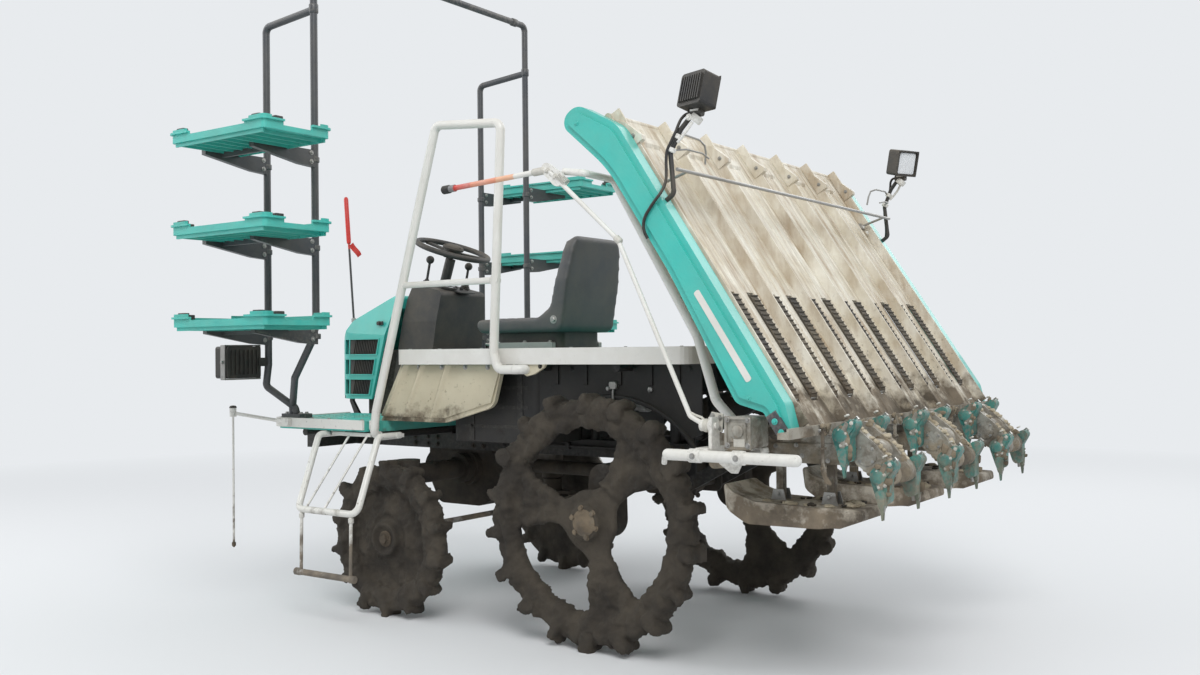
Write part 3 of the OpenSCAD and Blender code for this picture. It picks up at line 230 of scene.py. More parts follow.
class EffectShelf:
    """Builds each shared surface effect once and hands it to every material."""

    def __init__(self) -> None:
        """Build the effects."""
        self.mottle = self._mottle()
        self.wear = self._edge_wear()
        self.dust = self._dust()
        self.mud = self._mud()
        self.grain = self._grain()
        self.streaks = self._streaks()

    def _mottle(self) -> bpy.types.NodeTree:
        """Return the group that varies a colour in soft patches.

        Returns:
            The group, with Color out.
        """
        group, sketch, given, out = new_group(
            "mottle",
            (
                PLACE, COLOUR, GroupSocket("Shade", "NodeSocketColor"), GroupSocket("Scale", value=6.0),
                GroupSocket("Amount", value=0.5)),
            (COLOUR,),
        )
        patches = sketch.span(sketch.noise(given.outputs["Place"], given.outputs["Scale"]), 0.36, 0.68)
        share = sketch.math("MULTIPLY", patches, given.outputs["Amount"])
        sketch.tree.links.new(
            sketch.mix(share, given.outputs["Color"], given.outputs["Shade"]), out.inputs["Color"])
        return group

    def _edge_wear(self) -> bpy.types.NodeTree:
        """Return the group that bares the edges of a painted piece.

        Returns:
            The group, with Color and Mask out.
        """
        group, sketch, given, out = new_group(
            "edge_wear",
            (PLACE, COLOUR, GroupSocket("Bare", "NodeSocketColor"), GroupSocket("Amount", value=0.4)),
            (COLOUR, MASK),
        )
        edges = sketch.span(sketch.node("ShaderNodeNewGeometry").outputs["Pointiness"], 0.515, 0.57)
        chips = sketch.span(sketch.noise(given.outputs["Place"], 70.0, 4.0), 0.46, 0.6)
        share = sketch.math(
            "MULTIPLY", sketch.math("MULTIPLY", edges, chips), given.outputs["Amount"], clamp=True)
        sketch.tree.links.new(
            sketch.mix(share, given.outputs["Color"], given.outputs["Bare"]), out.inputs["Color"])
        sketch.tree.links.new(share, out.inputs["Mask"])
        return group

    def _dust(self) -> bpy.types.NodeTree:
        """Return the group that lays dried dust on faces that look up.

        Returns:
            The group, with Color and Mask out.
        """
        group, sketch, given, out = new_group(
            "dust",
            (PLACE, COLOUR, GroupSocket("Dust", "NodeSocketColor"), GroupSocket("Amount", value=0.3)),
            (COLOUR, MASK),
        )
        normal = sketch.node(
            "ShaderNodeSeparateXYZ", None, {0: sketch.node("ShaderNodeNewGeometry").outputs["Normal"]})
        lying = sketch.span(normal.outputs[2], -0.4, 1.0, 0.3, 1.0)
        cloud = sketch.span(sketch.noise(given.outputs["Place"], 4.5, 8.0, 0.7), 0.35, 0.72)
        share = sketch.math(
            "MULTIPLY", sketch.math("MULTIPLY", lying, cloud), given.outputs["Amount"], clamp=True)
        sketch.tree.links.new(
            sketch.mix(share, given.outputs["Color"], given.outputs["Dust"]), out.inputs["Color"])
        sketch.tree.links.new(share, out.inputs["Mask"])
        return group

    def _mud(self) -> bpy.types.NodeTree:
        """Return the group that covers what is below a line with mud, and splashes what is above it.

        Returns:
            The group, with Color, Mask and Height out.
        """
        group, sketch, given, out = new_group(
            "mud",
            (
                PLACE,
                COLOUR,
                GroupSocket("Mud", "NodeSocketColor"),
                GroupSocket("Wet Mud", "NodeSocketColor"),
                GroupSocket("Line", value=0.5),
                GroupSocket("Fade", value=0.3),
                GroupSocket("Cover", value=1.0),
            ),
            (COLOUR, MASK, GroupSocket("Height")),
        )
        where = given.outputs["Place"]
        height = sketch.node("ShaderNodeSeparateXYZ", None, {0: where}).outputs[2]
        below = sketch.math(
            "DIVIDE", sketch.math("SUBTRACT", given.outputs["Line"], height), given.outputs["Fade"])
        ragged = sketch.math(
            "MULTIPLY", sketch.math("SUBTRACT", sketch.noise(where, 11.0, 8.0, 0.65), 0.5), 3.2)
        coat = sketch.span(sketch.math("ADD", below, ragged), -0.1, 0.5)
        near = sketch.span(below, -2.2, 0.0, 0.0, 0.75)
        spots = sketch.span(sketch.noise(where, 60.0, 6.0, 0.62), 0.61, 0.7)
        splash = sketch.math("MULTIPLY", spots, near)
        share = sketch.math(
            "MULTIPLY", sketch.math("MAXIMUM", coat, splash), given.outputs["Cover"], clamp=True)
        fine = sketch.noise(where, 45.0, 8.0, 0.7)
        tone = sketch.mix(
            sketch.span(sketch.noise(where, 7.0, 6.0), 0.38, 0.62), given.outputs["Mud"],
            given.outputs["Wet Mud"])
        sketch.tree.links.new(sketch.mix(share, given.outputs["Color"], tone), out.inputs["Color"])
        sketch.tree.links.new(share, out.inputs["Mask"])
        sketch.tree.links.new(sketch.math("MULTIPLY", share, fine), out.inputs["Height"])
        return group

    def _grain(self) -> bpy.types.NodeTree:
        """Return the group that gives the small grain of castings and moulded plastic.

        Returns:
            The group, with Height out.
        """
        group, sketch, given, out = new_group(
            "grain", (
                PLACE, GroupSocket("Scale", value=400.0), GroupSocket("Amount", value=0.2)
            ), (GroupSocket("Height"),)
        )
        value = sketch.noise(given.outputs["Place"], given.outputs["Scale"], 3.0, 0.5)
        sketch.tree.links.new(sketch.math("MULTIPLY", value, given.outputs["Amount"]), out.inputs["Height"])
        return group

    def _streaks(self) -> bpy.types.NodeTree:
        """Return the group that stains a colour in streaks that run up the table's slope.

        Returns:
            The group, with Color and Mask out.
        """
        group, sketch, given, out = new_group(
            "streaks",
            (PLACE, COLOUR, GroupSocket("Stain", "NodeSocketColor"), GroupSocket("Amount", value=0.5)),
            (COLOUR, MASK),
        )
        along = sketch.node(
            "ShaderNodeMapping",
            {"vector_type": "POINT"},
            {
                "Vector": given.outputs["Place"], "Rotation": (0.0, -math.radians(33.3), 0.0),
                "Scale": (6.0, 26.0, 0.9)},
        ).outputs[0]
        wide = sketch.span(sketch.noise(along, 1.0, 6.0, 0.62), 0.46, 0.68)
        fine = sketch.span(sketch.noise(along, 3.6, 8.0, 0.7), 0.42, 0.7)
        stain = sketch.math("ADD", sketch.math("MULTIPLY", wide, 0.7), sketch.math("MULTIPLY", fine, 0.4))
        share = sketch.math("MULTIPLY", stain, given.outputs["Amount"], clamp=True)
        sketch.tree.links.new(
            sketch.mix(share, given.outputs["Color"], given.outputs["Stain"]), out.inputs["Color"])
        sketch.tree.links.new(share, out.inputs["Mask"])
        return group


EFFECTS = EffectShelf()
FIELD_DUST = paint(176, 160, 132)
DRY_MUD = paint(121, 107, 88)
WET_MUD = paint(62, 53, 43)
BARE_METAL = paint(128, 124, 116)


@dataclass(frozen=True)
class Finish:
    """A painted, moulded, cast or rubber finish with its dust, mud and wear."""

    name: str
    slot: Slot
    colour: Colour
    roughness: float
    shade: Colour | None = None
    metallic: float = 0.0
    coat: float = 0.0
    patch_scale: float = 5.0
    patch_amount: float = 0.5
    wear: float = 0.25
    dust: float = 0.25
    dust_colour: Colour = FIELD_DUST
    mud: Colour = DRY_MUD
    wet_mud: Colour = WET_MUD
    mud_line: float = 0.35
    mud_fade: float = 0.25
    mud_cover: float = 0.9
    mud_bump: float = 0.004
    grain_scale: float = 350.0
    grain_bump: float = 0.0004
    bands: tuple[tuple[float, Colour], ...] = ()
    band_axis: int = 0
    streaks: float = 0.0
    streak_colour: Colour = WET_MUD

    def build(self) -> bpy.types.Material:
        """Return the material, made on first use.

        Returns:
            The material.
        """
        made = bpy.data.materials.get(self.name)
        if made:
            return made
        made = bpy.data.materials.new(self.name)
        made.use_nodes = True
        tree = made.node_tree
        tree.nodes.clear()
        sketch = Sketch(tree)
        where = sketch.node("ShaderNodeTexCoord").outputs["Object"]
        shade = self.shade or tuple(0.72 * part for part in self.colour)
        base = self._banded(sketch, where) if self.bands else (*self.colour, 1)
        patched = self._group(
            sketch, EFFECTS.mottle, Place=where, Color=base, Shade=(*shade, 1), Scale=self.patch_scale,
            Amount=self.patch_amount)
        if self.streaks:
            patched = self._group(
                sketch, EFFECTS.streaks, Place=where, Color=patched.outputs["Color"],
                Stain=(*self.streak_colour, 1), Amount=self.streaks)
        worn = self._group(
            sketch, EFFECTS.wear, Place=where, Color=patched.outputs["Color"], Bare=(*BARE_METAL, 1),
            Amount=self.wear)
        dusted = self._group(
            sketch, EFFECTS.dust, Place=where, Color=worn.outputs["Color"], Dust=(*self.dust_colour, 1),
            Amount=self.dust)
        muddy = self._group(
            sketch,
            EFFECTS.mud,
            Place=where,
            Color=dusted.outputs["Color"],
            Mud=(*self.mud, 1),
            Wet_Mud=(*self.wet_mud, 1),
            Line=self.mud_line,
            Fade=self.mud_fade,
            Cover=self.mud_cover,
        )
        dull = sketch.math("MAXIMUM", dusted.outputs["Mask"], muddy.outputs["Mask"])
        grain = self._group(sketch, EFFECTS.grain, Place=where, Scale=self.grain_scale, Amount=1.0)
        bumps = sketch.math(
            "ADD",
            sketch.math("MULTIPLY", muddy.outputs["Height"], self.mud_bump),
            sketch.math("MULTIPLY", grain.outputs["Height"], self.grain_bump),
        )
        bump = sketch.node("ShaderNodeBump", None, {"Strength": 0.7, "Distance": 1.0, "Height": bumps})
        inputs = {
            "Base Color": muddy.outputs["Color"],
            "Roughness": sketch.span(dull, 0.0, 1.0, self.roughness, 0.93),
            "Normal": bump.outputs[0],
        }
        if self.metallic:
            inputs["Metallic"] = sketch.span(dull, 0.0, 0.6, self.metallic, 0.0)
        if self.coat:
            inputs["Coat Weight"] = sketch.span(dull, 0.0, 0.6, self.coat, 0.0)
        shader = sketch.node("ShaderNodeBsdfPrincipled", None, inputs)
        sketch.node("ShaderNodeOutputMaterial", None, {"Surface": shader.outputs[0]})
        return made

    def _banded(self, sketch: Sketch, where: bpy.types.NodeSocket) -> bpy.types.NodeSocket:
        """Return the colour that changes in bands along one axis.

        Args:
            sketch: The material's nodes.
            where: The place on the object.

        Returns:
            The colour.
        """
        along = sketch.node("ShaderNodeSeparateXYZ", None, {0: where}).outputs[self.band_axis]
        colour: object = (*self.colour, 1)
        for start, band in self.bands:
            step = sketch.span(along, start - 0.002, start + 0.002)
            colour = sketch.mix(step, colour, (*band, 1))
        return colour

    @staticmethod
    def _group(sketch: Sketch, group: bpy.types.NodeTree, **inputs: object) -> bpy.types.Node:
        """Return a node of a group with its inputs set or linked."""
        return sketch.node(
            "ShaderNodeGroup", {"node_tree": group},
            {key.replace("_", " "): value for key, value in inputs.items()})


TEAL = paint(62, 188, 176)
TEAL_SHADE = paint(44, 158, 150)
OFF_WHITE = paint(226, 225, 220)
CREAM = paint(204, 196, 172)

TEAL_PANEL = Finish(
    "teal_panel_gloss", Slot.TEAL_PANEL, TEAL, 0.34, TEAL_SHADE, coat=0.35, patch_amount=0.35, wear=0.0,
    dust=0.22, mud_line=0.5)
TEAL_FLOOR = Finish(
    "teal_floor_scuffed", Slot.TEAL_PANEL, TEAL, 0.5, TEAL_SHADE, patch_scale=9, wear=0.0, dust=0.55,
    mud_line=0.62, mud_fade=0.4)
TEAL_TRAY = Finish(
    "teal_tray_moulding", Slot.TEAL_PANEL, TEAL, 0.42, TEAL_SHADE, patch_scale=8, wear=0.0, dust=0.35,
    mud_line=0.4)
WHITE_TUBE = Finish(
    "white_tube_paint", Slot.WHITE_PAINT, OFF_WHITE, 0.35, paint(205, 202, 194), coat=0.2, wear=0.3,
    dust=0.3, mud_line=0.42, mud_fade=0.35)
WHITE_BAND = Finish(
    "white_edge_moulding", Slot.WHITE_BAND, OFF_WHITE, 0.42, paint(206, 203, 196), wear=0.0, dust=0.35,
    mud_line=0.6)
CREAM_COVER = Finish(
    "cream_cover_moulding", Slot.CREAM, CREAM, 0.55, paint(176, 166, 140), patch_scale=4, wear=0.0,
    dust=0.45, mud_line=0.86, mud_fade=0.12)
CREAM_TABLE = Finish(
    "cream_table_stained", Slot.CREAM, paint(230, 226, 213), 0.5, paint(178, 162, 128), patch_scale=7,
    patch_amount=0.62, wear=0.0, dust=0.15, mud_line=1.0, mud_fade=0.2, streaks=0.9,
    streak_colour=paint(150, 126, 94))
MUDDY_FLOAT = Finish(
    "pale_float_muddy", Slot.CREAM, paint(200, 192, 178), 0.6, paint(150, 140, 122), patch_scale=7,
    wear=0.0, dust=0.5, mud_line=0.66, mud_fade=0.16)
DARK_PAINT = Finish(
    "dark_grey_paint", Slot.DARK_PAINT, paint(62, 66, 72), 0.42, paint(44, 47, 52), coat=0.1, wear=0.35,
    dust=0.25, mud_line=0.6, mud_fade=0.4)
DARK_MOULDING = Finish(
    "black_moulding", Slot.BLACK_PLASTIC, paint(40, 41, 43), 0.5, paint(28, 29, 31), wear=0.0, dust=0.3,
    grain_bump=0.0008)
SEAT_SKIN = Finish(
    "grey_seat_moulding", Slot.SEAT, paint(74, 76, 80), 0.46, paint(56, 58, 62), wear=0.0, dust=0.3,
    grain_bump=0.0012, mud_line=0.2)
CAST_CASE = Finish(
    "cast_case_muddy", Slot.CAST_CASE, paint(66, 64, 62), 0.6, paint(46, 44, 42), metallic=0.3, wear=0.3,
    dust=0.4, mud_line=0.75, mud_fade=0.5)
MUDDY_WHEEL = Finish(
    "wheel_under_mud", Slot.MUDDY_WHEEL, paint(58, 52, 45), 0.7, paint(42, 38, 33), patch_scale=6,
    patch_amount=0.8, wear=0.0, dust=0.08, mud=paint(74, 67, 57), wet_mud=paint(46, 41, 35), mud_line=2.0,
    mud_cover=0.85, mud_bump=0.014)
# Near-black frame finish: partly the parts' dark paint and mud, partly painted shade standing in for the
# shadow under the deck.
UNDERBODY_GRIME_AND_SHADE = Finish(
    "underbody_grime_and_painted_shade", Slot.DARK_PAINT, paint(36, 36, 37), 0.6, paint(24, 24, 24), wear=0.1, dust=0.12,
    mud=paint(66, 58, 48), wet_mud=paint(36, 32, 27), mud_line=0.62, mud_fade=0.4, mud_cover=0.8)
# Near-black moulding with mud, used on the fuel tank and the rear arch sheets. It is darker than the other
# black mouldings as painted shade under the deck.
TANK_GRIME_AND_SHADE = Finish(
    "tank_moulding_grime_and_painted_shade", Slot.BLACK_PLASTIC, paint(30, 30, 31), 0.55, paint(20, 20, 20), wear=0.0,
    dust=0.1, mud=paint(60, 53, 44), wet_mud=paint(34, 30, 26), mud_line=0.7, mud_fade=0.25, mud_cover=0.7,
    grain_bump=0.0008)
GEARCASE = Finish(
    "gearcase_under_mud", Slot.CAST_CASE, paint(48, 45, 42), 0.65, paint(34, 31, 28), metallic=0.1,
    wear=0.15, dust=0.15, mud=paint(72, 64, 54), wet_mud=paint(42, 37, 31), mud_line=0.85, mud_fade=0.5)
BARE_STEEL = Finish(
    "zinc_steel", Slot.BARE_STEEL, paint(168, 168, 166), 0.36, paint(132, 130, 126), metallic=0.85,
    wear=0.0, dust=0.3, mud_line=0.6, mud_fade=0.4)
RAIL_STEEL = Finish(
    "rail_steel_dusty", Slot.BARE_STEEL, paint(176, 172, 162), 0.48, paint(136, 128, 114), metallic=0.4,
    wear=0.0, dust=0.5, mud_line=0.9, mud_fade=0.2)
ROTARY_CASE = Finish(
    "die_cast_case", Slot.ALUMINIUM, paint(172, 170, 162), 0.42, paint(84, 78, 69), metallic=0.4,
    patch_scale=22, patch_amount=0.7, wear=0.2, dust=0.35, mud=paint(156, 142, 120),
    wet_mud=paint(78, 69, 57), mud_line=0.86, mud_fade=0.3, mud_cover=0.85, mud_bump=0.008)
ARM_TEAL = Finish(
    "arm_teal_worn", Slot.ARM_TEAL, paint(58, 138, 130), 0.42, paint(36, 96, 92), metallic=0.1,
    patch_scale=14, patch_amount=0.8, wear=0.7, dust=0.4, mud=paint(150, 138, 118),
    wet_mud=paint(74, 67, 56), mud_line=0.74, mud_fade=0.22, mud_cover=0.72, mud_bump=0.008)
RUBBER = Finish(
    "black_rubber", Slot.RUBBER, paint(34, 34, 35), 0.62, paint(24, 24, 25), wear=0.0, dust=0.25,
    mud_line=0.3)
BELT_RUBBER = Finish(
    "belt_rubber", Slot.RUBBER, paint(54, 52, 48), 0.66, paint(38, 36, 33), wear=0.0, dust=0.5,
    mud_line=1.0, mud_fade=0.2)
LENS = Finish(
    "lamp_lens_glass", Slot.WHITE_PAINT, paint(232, 234, 236), 0.12, paint(214, 218, 222), coat=0.6,
    wear=0.0, dust=0.12, mud_line=0.3, grain_bump=0.0)
PALE_FITTING = Finish(
    "pale_fitting_paint", Slot.WHITE_PAINT, paint(206, 204, 196), 0.42, paint(176, 172, 160), wear=0.2,
    dust=0.35, mud_line=0.72, mud_fade=0.2, mud_cover=0.6)
PALE_MUD = Finish(
    "dried_pale_mud", Slot.MUDDY_WHEEL, paint(150, 138, 118), 0.9, paint(104, 93, 77), patch_scale=20,
    patch_amount=0.9, wear=0.0, dust=0.2, mud=paint(128, 115, 96), wet_mud=paint(72, 63, 52), mud_line=0.8,
    mud_fade=0.3, mud_bump=0.006)
PALE_CLUMPS = Finish(
    "dried_pale_clumps", Slot.MUDDY_WHEEL, paint(196, 186, 164), 0.9, paint(140, 126, 102), patch_scale=16,
    patch_amount=0.9, wear=0.0, dust=0.2, mud=paint(150, 138, 116), wet_mud=paint(96, 86, 70), mud_line=0.7,
    mud_fade=0.2, mud_cover=0.4, mud_bump=0.006)
RED_PAINT = Finish(
    "red_paint", Slot.WHITE_PAINT, paint(206, 40, 34), 0.4, paint(170, 30, 28), wear=0.0, dust=0.15)
ORANGE = paint(226, 116, 62)
RED = paint(204, 52, 42)
GREY_TIP = paint(120, 120, 122)
MARKER_PAINT = Finish(
    "marker_banded_paint",
    Slot.WHITE_PAINT,
    OFF_WHITE,
    0.4,
    paint(206, 202, 194),
    wear=0.2,
    dust=0.25,
    mud_line=0.5,
    bands=(
        (0.05 + AXLE_X, paint(232, 170, 130)), (0.13 + AXLE_X, ORANGE), (0.25 + AXLE_X, RED),
        (0.33 + AXLE_X, GREY_TIP)),
)
SIGHT_PAINT = Finish(
    "sighting_rod_paint",
    Slot.DARK_PAINT,
    paint(50, 52, 56),
    0.45,
    wear=0.1,
    dust=0.2,
    bands=((1.64, RED), (1.86, paint(214, 60, 50))),
    band_axis=2,
)

NODE_FINISHES: dict[str, Finish] = {
    # The main frame takes the near-black underbody finish, darkened as painted shade under the deck.
    "main_frame": UNDERBODY_GRIME_AND_SHADE,
    "transmission": GEARCASE,
    "engine": GEARCASE,
    # The fuel tank's moulding is darkened as painted shade under the deck.
    "fuel_tank": TANK_GRIME_AND_SHADE,
    "front_axle": GEARCASE,
    "rear_axle": GEARCASE,
    "front_floor": TEAL_FLOOR,
    "seat_deck": TEAL_FLOOR,
    "edge_bands": WHITE_BAND,
    "body_cover": CREAM_COVER,
    "dash_console": DARK_MOULDING,
    "levers": DARK_MOULDING,
    "seat": SEAT_SKIN,
    "seat_base": DARK_MOULDING,
    "handrail": WHITE_TUBE,
    "boarding_steps": WHITE_TUBE,
    "rack_left": DARK_PAINT,
    "rack_right": DARK_PAINT,
    "rack_crossbar": DARK_PAINT,
    "rack_trays": TEAL_TRAY,
    "headlights": DARK_MOULDING,
    "side_sight_rods": WHITE_TUBE,
    "lift_cylinder": BARE_STEEL,
    "bonnet": TEAL_PANEL,
    "bonnet_grilles": DARK_MOULDING,
    "sighting_rod": SIGHT_PAINT,
    "steering_wheel": DARK_MOULDING,
    "knuckle_left": GEARCASE,
    "knuckle_right": GEARCASE,
    "tie_rod": BARE_STEEL,
    "front_wheel_left": MUDDY_WHEEL,
    "front_wheel_right": MUDDY_WHEEL,
    "rear_wheel_left": MUDDY_WHEEL,
    "rear_wheel_right": MUDDY_WHEEL,
    # The links and the hitch take the same near-black finish, darkened as painted shade.
    "lower_links": UNDERBODY_GRIME_AND_SHADE,
    "upper_link": UNDERBODY_GRIME_AND_SHADE,
    "lift_rod": BARE_STEEL,
    "hitch": UNDERBODY_GRIME_AND_SHADE,
    "planter_frame": ROTARY_CASE,
    "floats": MUDDY_FLOAT,
    "pillar_frame": WHITE_TUBE,
    "guard_bars": WHITE_TUBE,
    "lower_rail": RAIL_STEEL,
    "rotors": ROTARY_CASE,
    "arms_a": ARM_TEAL,
    "arms_b": ARM_TEAL,
    "lane_table": CREAM_TABLE,
    "side_beams": TEAL_PANEL,
    "feed_belts": BELT_RUBBER,
    "hold_down": BARE_STEEL,
    "work_lamps": DARK_MOULDING,
    "lamp_cables": RUBBER,
    "marker_left": MARKER_PAINT,
    "marker_right": MARKER_PAINT,
}


@dataclass(frozen=True)
class CadNodes:
    """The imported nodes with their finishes."""

    finishes: dict[str, Finish] = field(default_factory=lambda: NODE_FINISHES)

    def build(self) -> None:
        """Give every CAD node its finish."""
        for node, finish in self.finishes.items():
            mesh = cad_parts[node].data
            mesh.materials.clear()
            mesh.materials.append(finish.build())
        LOG.info("dressed %d nodes", len(self.finishes))


# Mesh helpers


class Shape:
    """Collects vertices and faces of one piece."""

    def __init__(self) -> None:
        """Start with nothing."""
        self.points: list[Vector] = []
        self.faces: list[tuple[int, ...]] = []

    def add(
        self, points: Iterable[Vector], faces: Iterable[Sequence[int]], where: Matrix | None = None
    ) -> None:
        """Add points and the faces between them, moved by a matrix.

        Args:
            points: The points in metres.
            faces: Their indices for each face, from 0.
            where: The matrix.
        """
        first = len(self.points)
        self.points.extend(where @ point if where else point for point in points)
        self.faces.extend(tuple(first + index for index in face) for face in faces)

    def prism(self, outline: Sequence[Pair], low: float, high: float, where: Matrix) -> None:
        """Add an outline in local X and Y, extruded along local Z from low to high.

        Args:
            outline: The outline in metres.
            low: The start along local Z.
            high: The end along local Z.
            where: The matrix of the local axes.
        """
        count = len(outline)
        points = [Vector((x, y, z)) for z in (low, high) for x, y in outline]
        faces = [tuple(range(count - 1, -1, -1)), tuple(range(count, 2 * count))]
        faces += [(i, (i + 1) % count, count + (i + 1) % count, count + i) for i in range(count)]
        self.add(points, faces, where)

    def lathe(self, profile: Sequence[Pair], sides: int, where: Matrix) -> None:
        """Add a profile of radius and height rows, turned about local Z and closed at both ends.

        Args:
            profile: The rows in metres.
            sides: Faces round the axis.
            where: The matrix of the local axes.
        """
        points = [Vector((x, y, height)) for radius, height in profile for x, y in ring(radius, sides)]
        last = (len(profile) - 1) * sides
        faces = [tuple(range(sides - 1, -1, -1)), tuple(last + k for k in range(sides))]
        for row in range(len(profile) - 1):
            for k in range(sides):
                a, b = row * sides + k, row * sides + (k + 1) % sides
                faces.append((a, b, b + sides, a + sides))
        self.add(points, faces, where)

    def collar(
        self, bore: float, radius: float, shoulder: float, half: float, sides: int, where: Matrix
    ) -> None:
        """Add a round collar with chamfered ends, half of it on each side of local Z's zero."""
        self.lathe([(bore, -half), (radius, -shoulder), (radius, shoulder), (bore, half)], sides, where)

    def loft(self, rings: Sequence[Sequence[Vector]], where: Matrix | None = None) -> None:
        """Add a skin between rings of equal length, closed at both ends.

        Args:
            rings: The rings' points in metres.
            where: A matrix for all of them.
        """
        count = len(rings[0])
        last = (len(rings) - 1) * count
        faces: list[tuple[int, ...]] = [
            tuple(range(count - 1, -1, -1)), tuple(last + k for k in range(count))]
        for row in range(len(rings) - 1):
            for k in range(count):
                a, b = row * count + k, row * count + (k + 1) % count
                faces.append((a, b, b + count, a + count))
        self.add([point for ring_points in rings for point in ring_points], faces, where)

    def pad(self, outline: Sequence[Pair], low: float, high: float, bevel: float, where: Matrix) -> None:
        """Add an outline extruded along local Z whose upper edge is bevelled towards the outline's middle.

        Args:
            outline: The outline in metres.
            low: The start along local Z.
            high: The end along local Z.
            bevel: The bevel's size.
            where: The matrix of the local axes.
        """
        mid_x = sum(x for x, _ in outline) / len(outline)
        mid_y = sum(y for _, y in outline) / len(outline)
        reach = max(math.hypot(x - mid_x, y - mid_y) for x, y in outline)
        share = 1 - bevel / reach
        rings = [[Vector((x, y, z)) for x, y in outline] for z in (low, high - bevel)]
        rings.append([
            Vector((mid_x + (x - mid_x) * share, mid_y + (y - mid_y) * share, high)) for x, y in outline])
        self.loft(rings, where)

    def tube(self, points: Sequence[Vector], radius: float, sides: int = 10) -> None:
        """Add a round rod along points.

        Args:
            points: Its centre line.
            radius: Its radius in metres.
            sides: Faces round it.
        """
        rings = []
        side = Vector((0.3, 1, 0.1))
        for index, point in enumerate(points):
            ahead = (points[min(index + 1, len(points) - 1)] - points[max(index - 1, 0)]).normalized()
            side = (side - ahead * side.dot(ahead)).normalized()
            other = ahead.cross(side)
            rings.append([point + side * x + other * y for x, y in ring(radius, sides)])
        self.loft(rings)

    def coil(self, start: Vector, end: Vector, radius: float, wire: float, turns: int) -> None:
        """Add a spring between two points.

        Args:
            start: Its first end.
            end: Its other end.
            radius: The coil's radius in metres.
            wire: The wire's radius.
            turns: How often it turns.
        """
        where = facing(start, end - start)
        length = (end - start).length
        count = turns * 12
        points = []
        for k in range(count + 1):
            angle = k * math.pi / 6
            points.append(
                where @ Vector((radius * math.cos(angle), radius * math.sin(angle), length * k / count)))
        self.tube(points, wire, 6)

    def clod(self, spot: Vector, size: Vector, seed: float) -> None:
        """Add a lump of mud.

        Args:
            spot: Its middle.
            size: Its half sizes in metres.
            seed: Gives it a shape of its own.
        """
        work = bmesh.new()
        bmesh.ops.create_icosphere(work, subdivisions=2, radius=1.0)
        points = []
        for vertex in work.verts:
            swell = 0.8 + 0.45 * noise.noise(vertex.co * 1.6 + Vector((seed, seed * 2, 0)))
            points.append(spot + Vector(part * scale * swell for part, scale in zip(vertex.co, size)))
        self.add(points, [[vertex.index for vertex in face.verts] for face in work.faces])
        work.free()

    def piece(
        self, name: str, finish: Finish, body: str, smooth: bool = False, angle: float = 35
    ) -> bpy.types.Object:
        """Make the object and let it ride on a body.

        Args:
            name: The piece's name.
            finish: Its finish.
            body: The body it moves with.
            smooth: Whether its faces shade smoothly.
            angle: Edges sharper than this stay sharp, in degrees.

        Returns:
            The new object.
        """
        mesh = bpy.data.meshes.new(name)
        mesh.from_pydata([tuple(point) for point in self.points], [], self.faces)
        mesh.validate()
        work = bmesh.new()
        work.from_mesh(mesh)
        bmesh.ops.recalc_face_normals(work, faces=work.faces)
        work.to_mesh(mesh)
        work.free()
        if smooth:
            mesh.shade_smooth()
            mesh.set_sharp_from_angle(angle=math.radians(angle))
        mesh.materials.append(finish.build())
        made = bpy.data.objects.new(name, mesh)
        bpy.context.collection.objects.link(made)
        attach(made, body)
        LOG.info("%s: %d faces on %s", name, len(self.faces), body)
        return made


def facing(spot: Vector, direction: Vector, spin: float = 0.0) -> Matrix:
    """Return the matrix whose local Z looks along a direction from a spot."""
    turn = direction.to_track_quat("Z", "Y").to_matrix().to_4x4()
    return Matrix.Translation(spot) @ turn @ Matrix.Rotation(spin, 4, "Z")


def ring(radius: float, count: int, start: float = 0.0) -> list[Pair]:
    """Return points of a circle."""
    angles = [start + 2 * math.pi * k / count for k in range(count)]
    return [(radius * math.cos(angle), radius * math.sin(angle)) for angle in angles]


def soft_rectangle(width: float, height: float, radius: float, steps: int = 4) -> list[Pair]:
    """Return the outline of a rectangle with round corners.

    Args:
        width: Its size along X, in metres.
        height: Its size along Y.
        radius: The corners' radius.
        steps: Steps in each corner.

    Returns:
        The outline in metres.
    """
    outline = []
    for turn, (sx, sy) in enumerate(((1, 1), (-1, 1), (-1, -1), (1, -1))):
        for step in range(steps + 1):
            angle = math.pi / 2 * (turn + step / steps)
            x, y = sx * (width / 2 - radius), sy * (height / 2 - radius)
            outline.append((x + radius * math.cos(angle), y + radius * math.sin(angle)))
    return outline


@dataclass(frozen=True)
class Bolt:
    """A hexagon bolt with its washer; sizes in metres."""

    across: float = 0.013
    height: float = 0.006
    washer: float = 0.012
    washer_height: float = 0.0016

    def put(self, shape: Shape, spot: Vector, direction: Vector, spin: float = 0.0) -> None:
        """Add one bolt whose washer lies on the spot.

        Args:
            shape: Takes the bolt.
            spot: The place of its seat.
            direction: Where its head looks.
            spin: Its turn about that, in radians.
        """
        where = facing(spot, direction, spin)
        shape.lathe(
            [
                (self.washer, -0.001), (self.washer, self.washer_height * 0.7),
                (self.washer * 0.94, self.washer_height)],
            14, where)
        radius = self.across / math.sqrt(3)
        top = self.washer_height + self.height
        shape.lathe(
            [(radius, self.washer_height * 0.5), (radius, top - 0.0012), (radius * 0.84, top)], 6, where)


# Sub-assemblies


BACKDROP = paint(232, 235, 238)


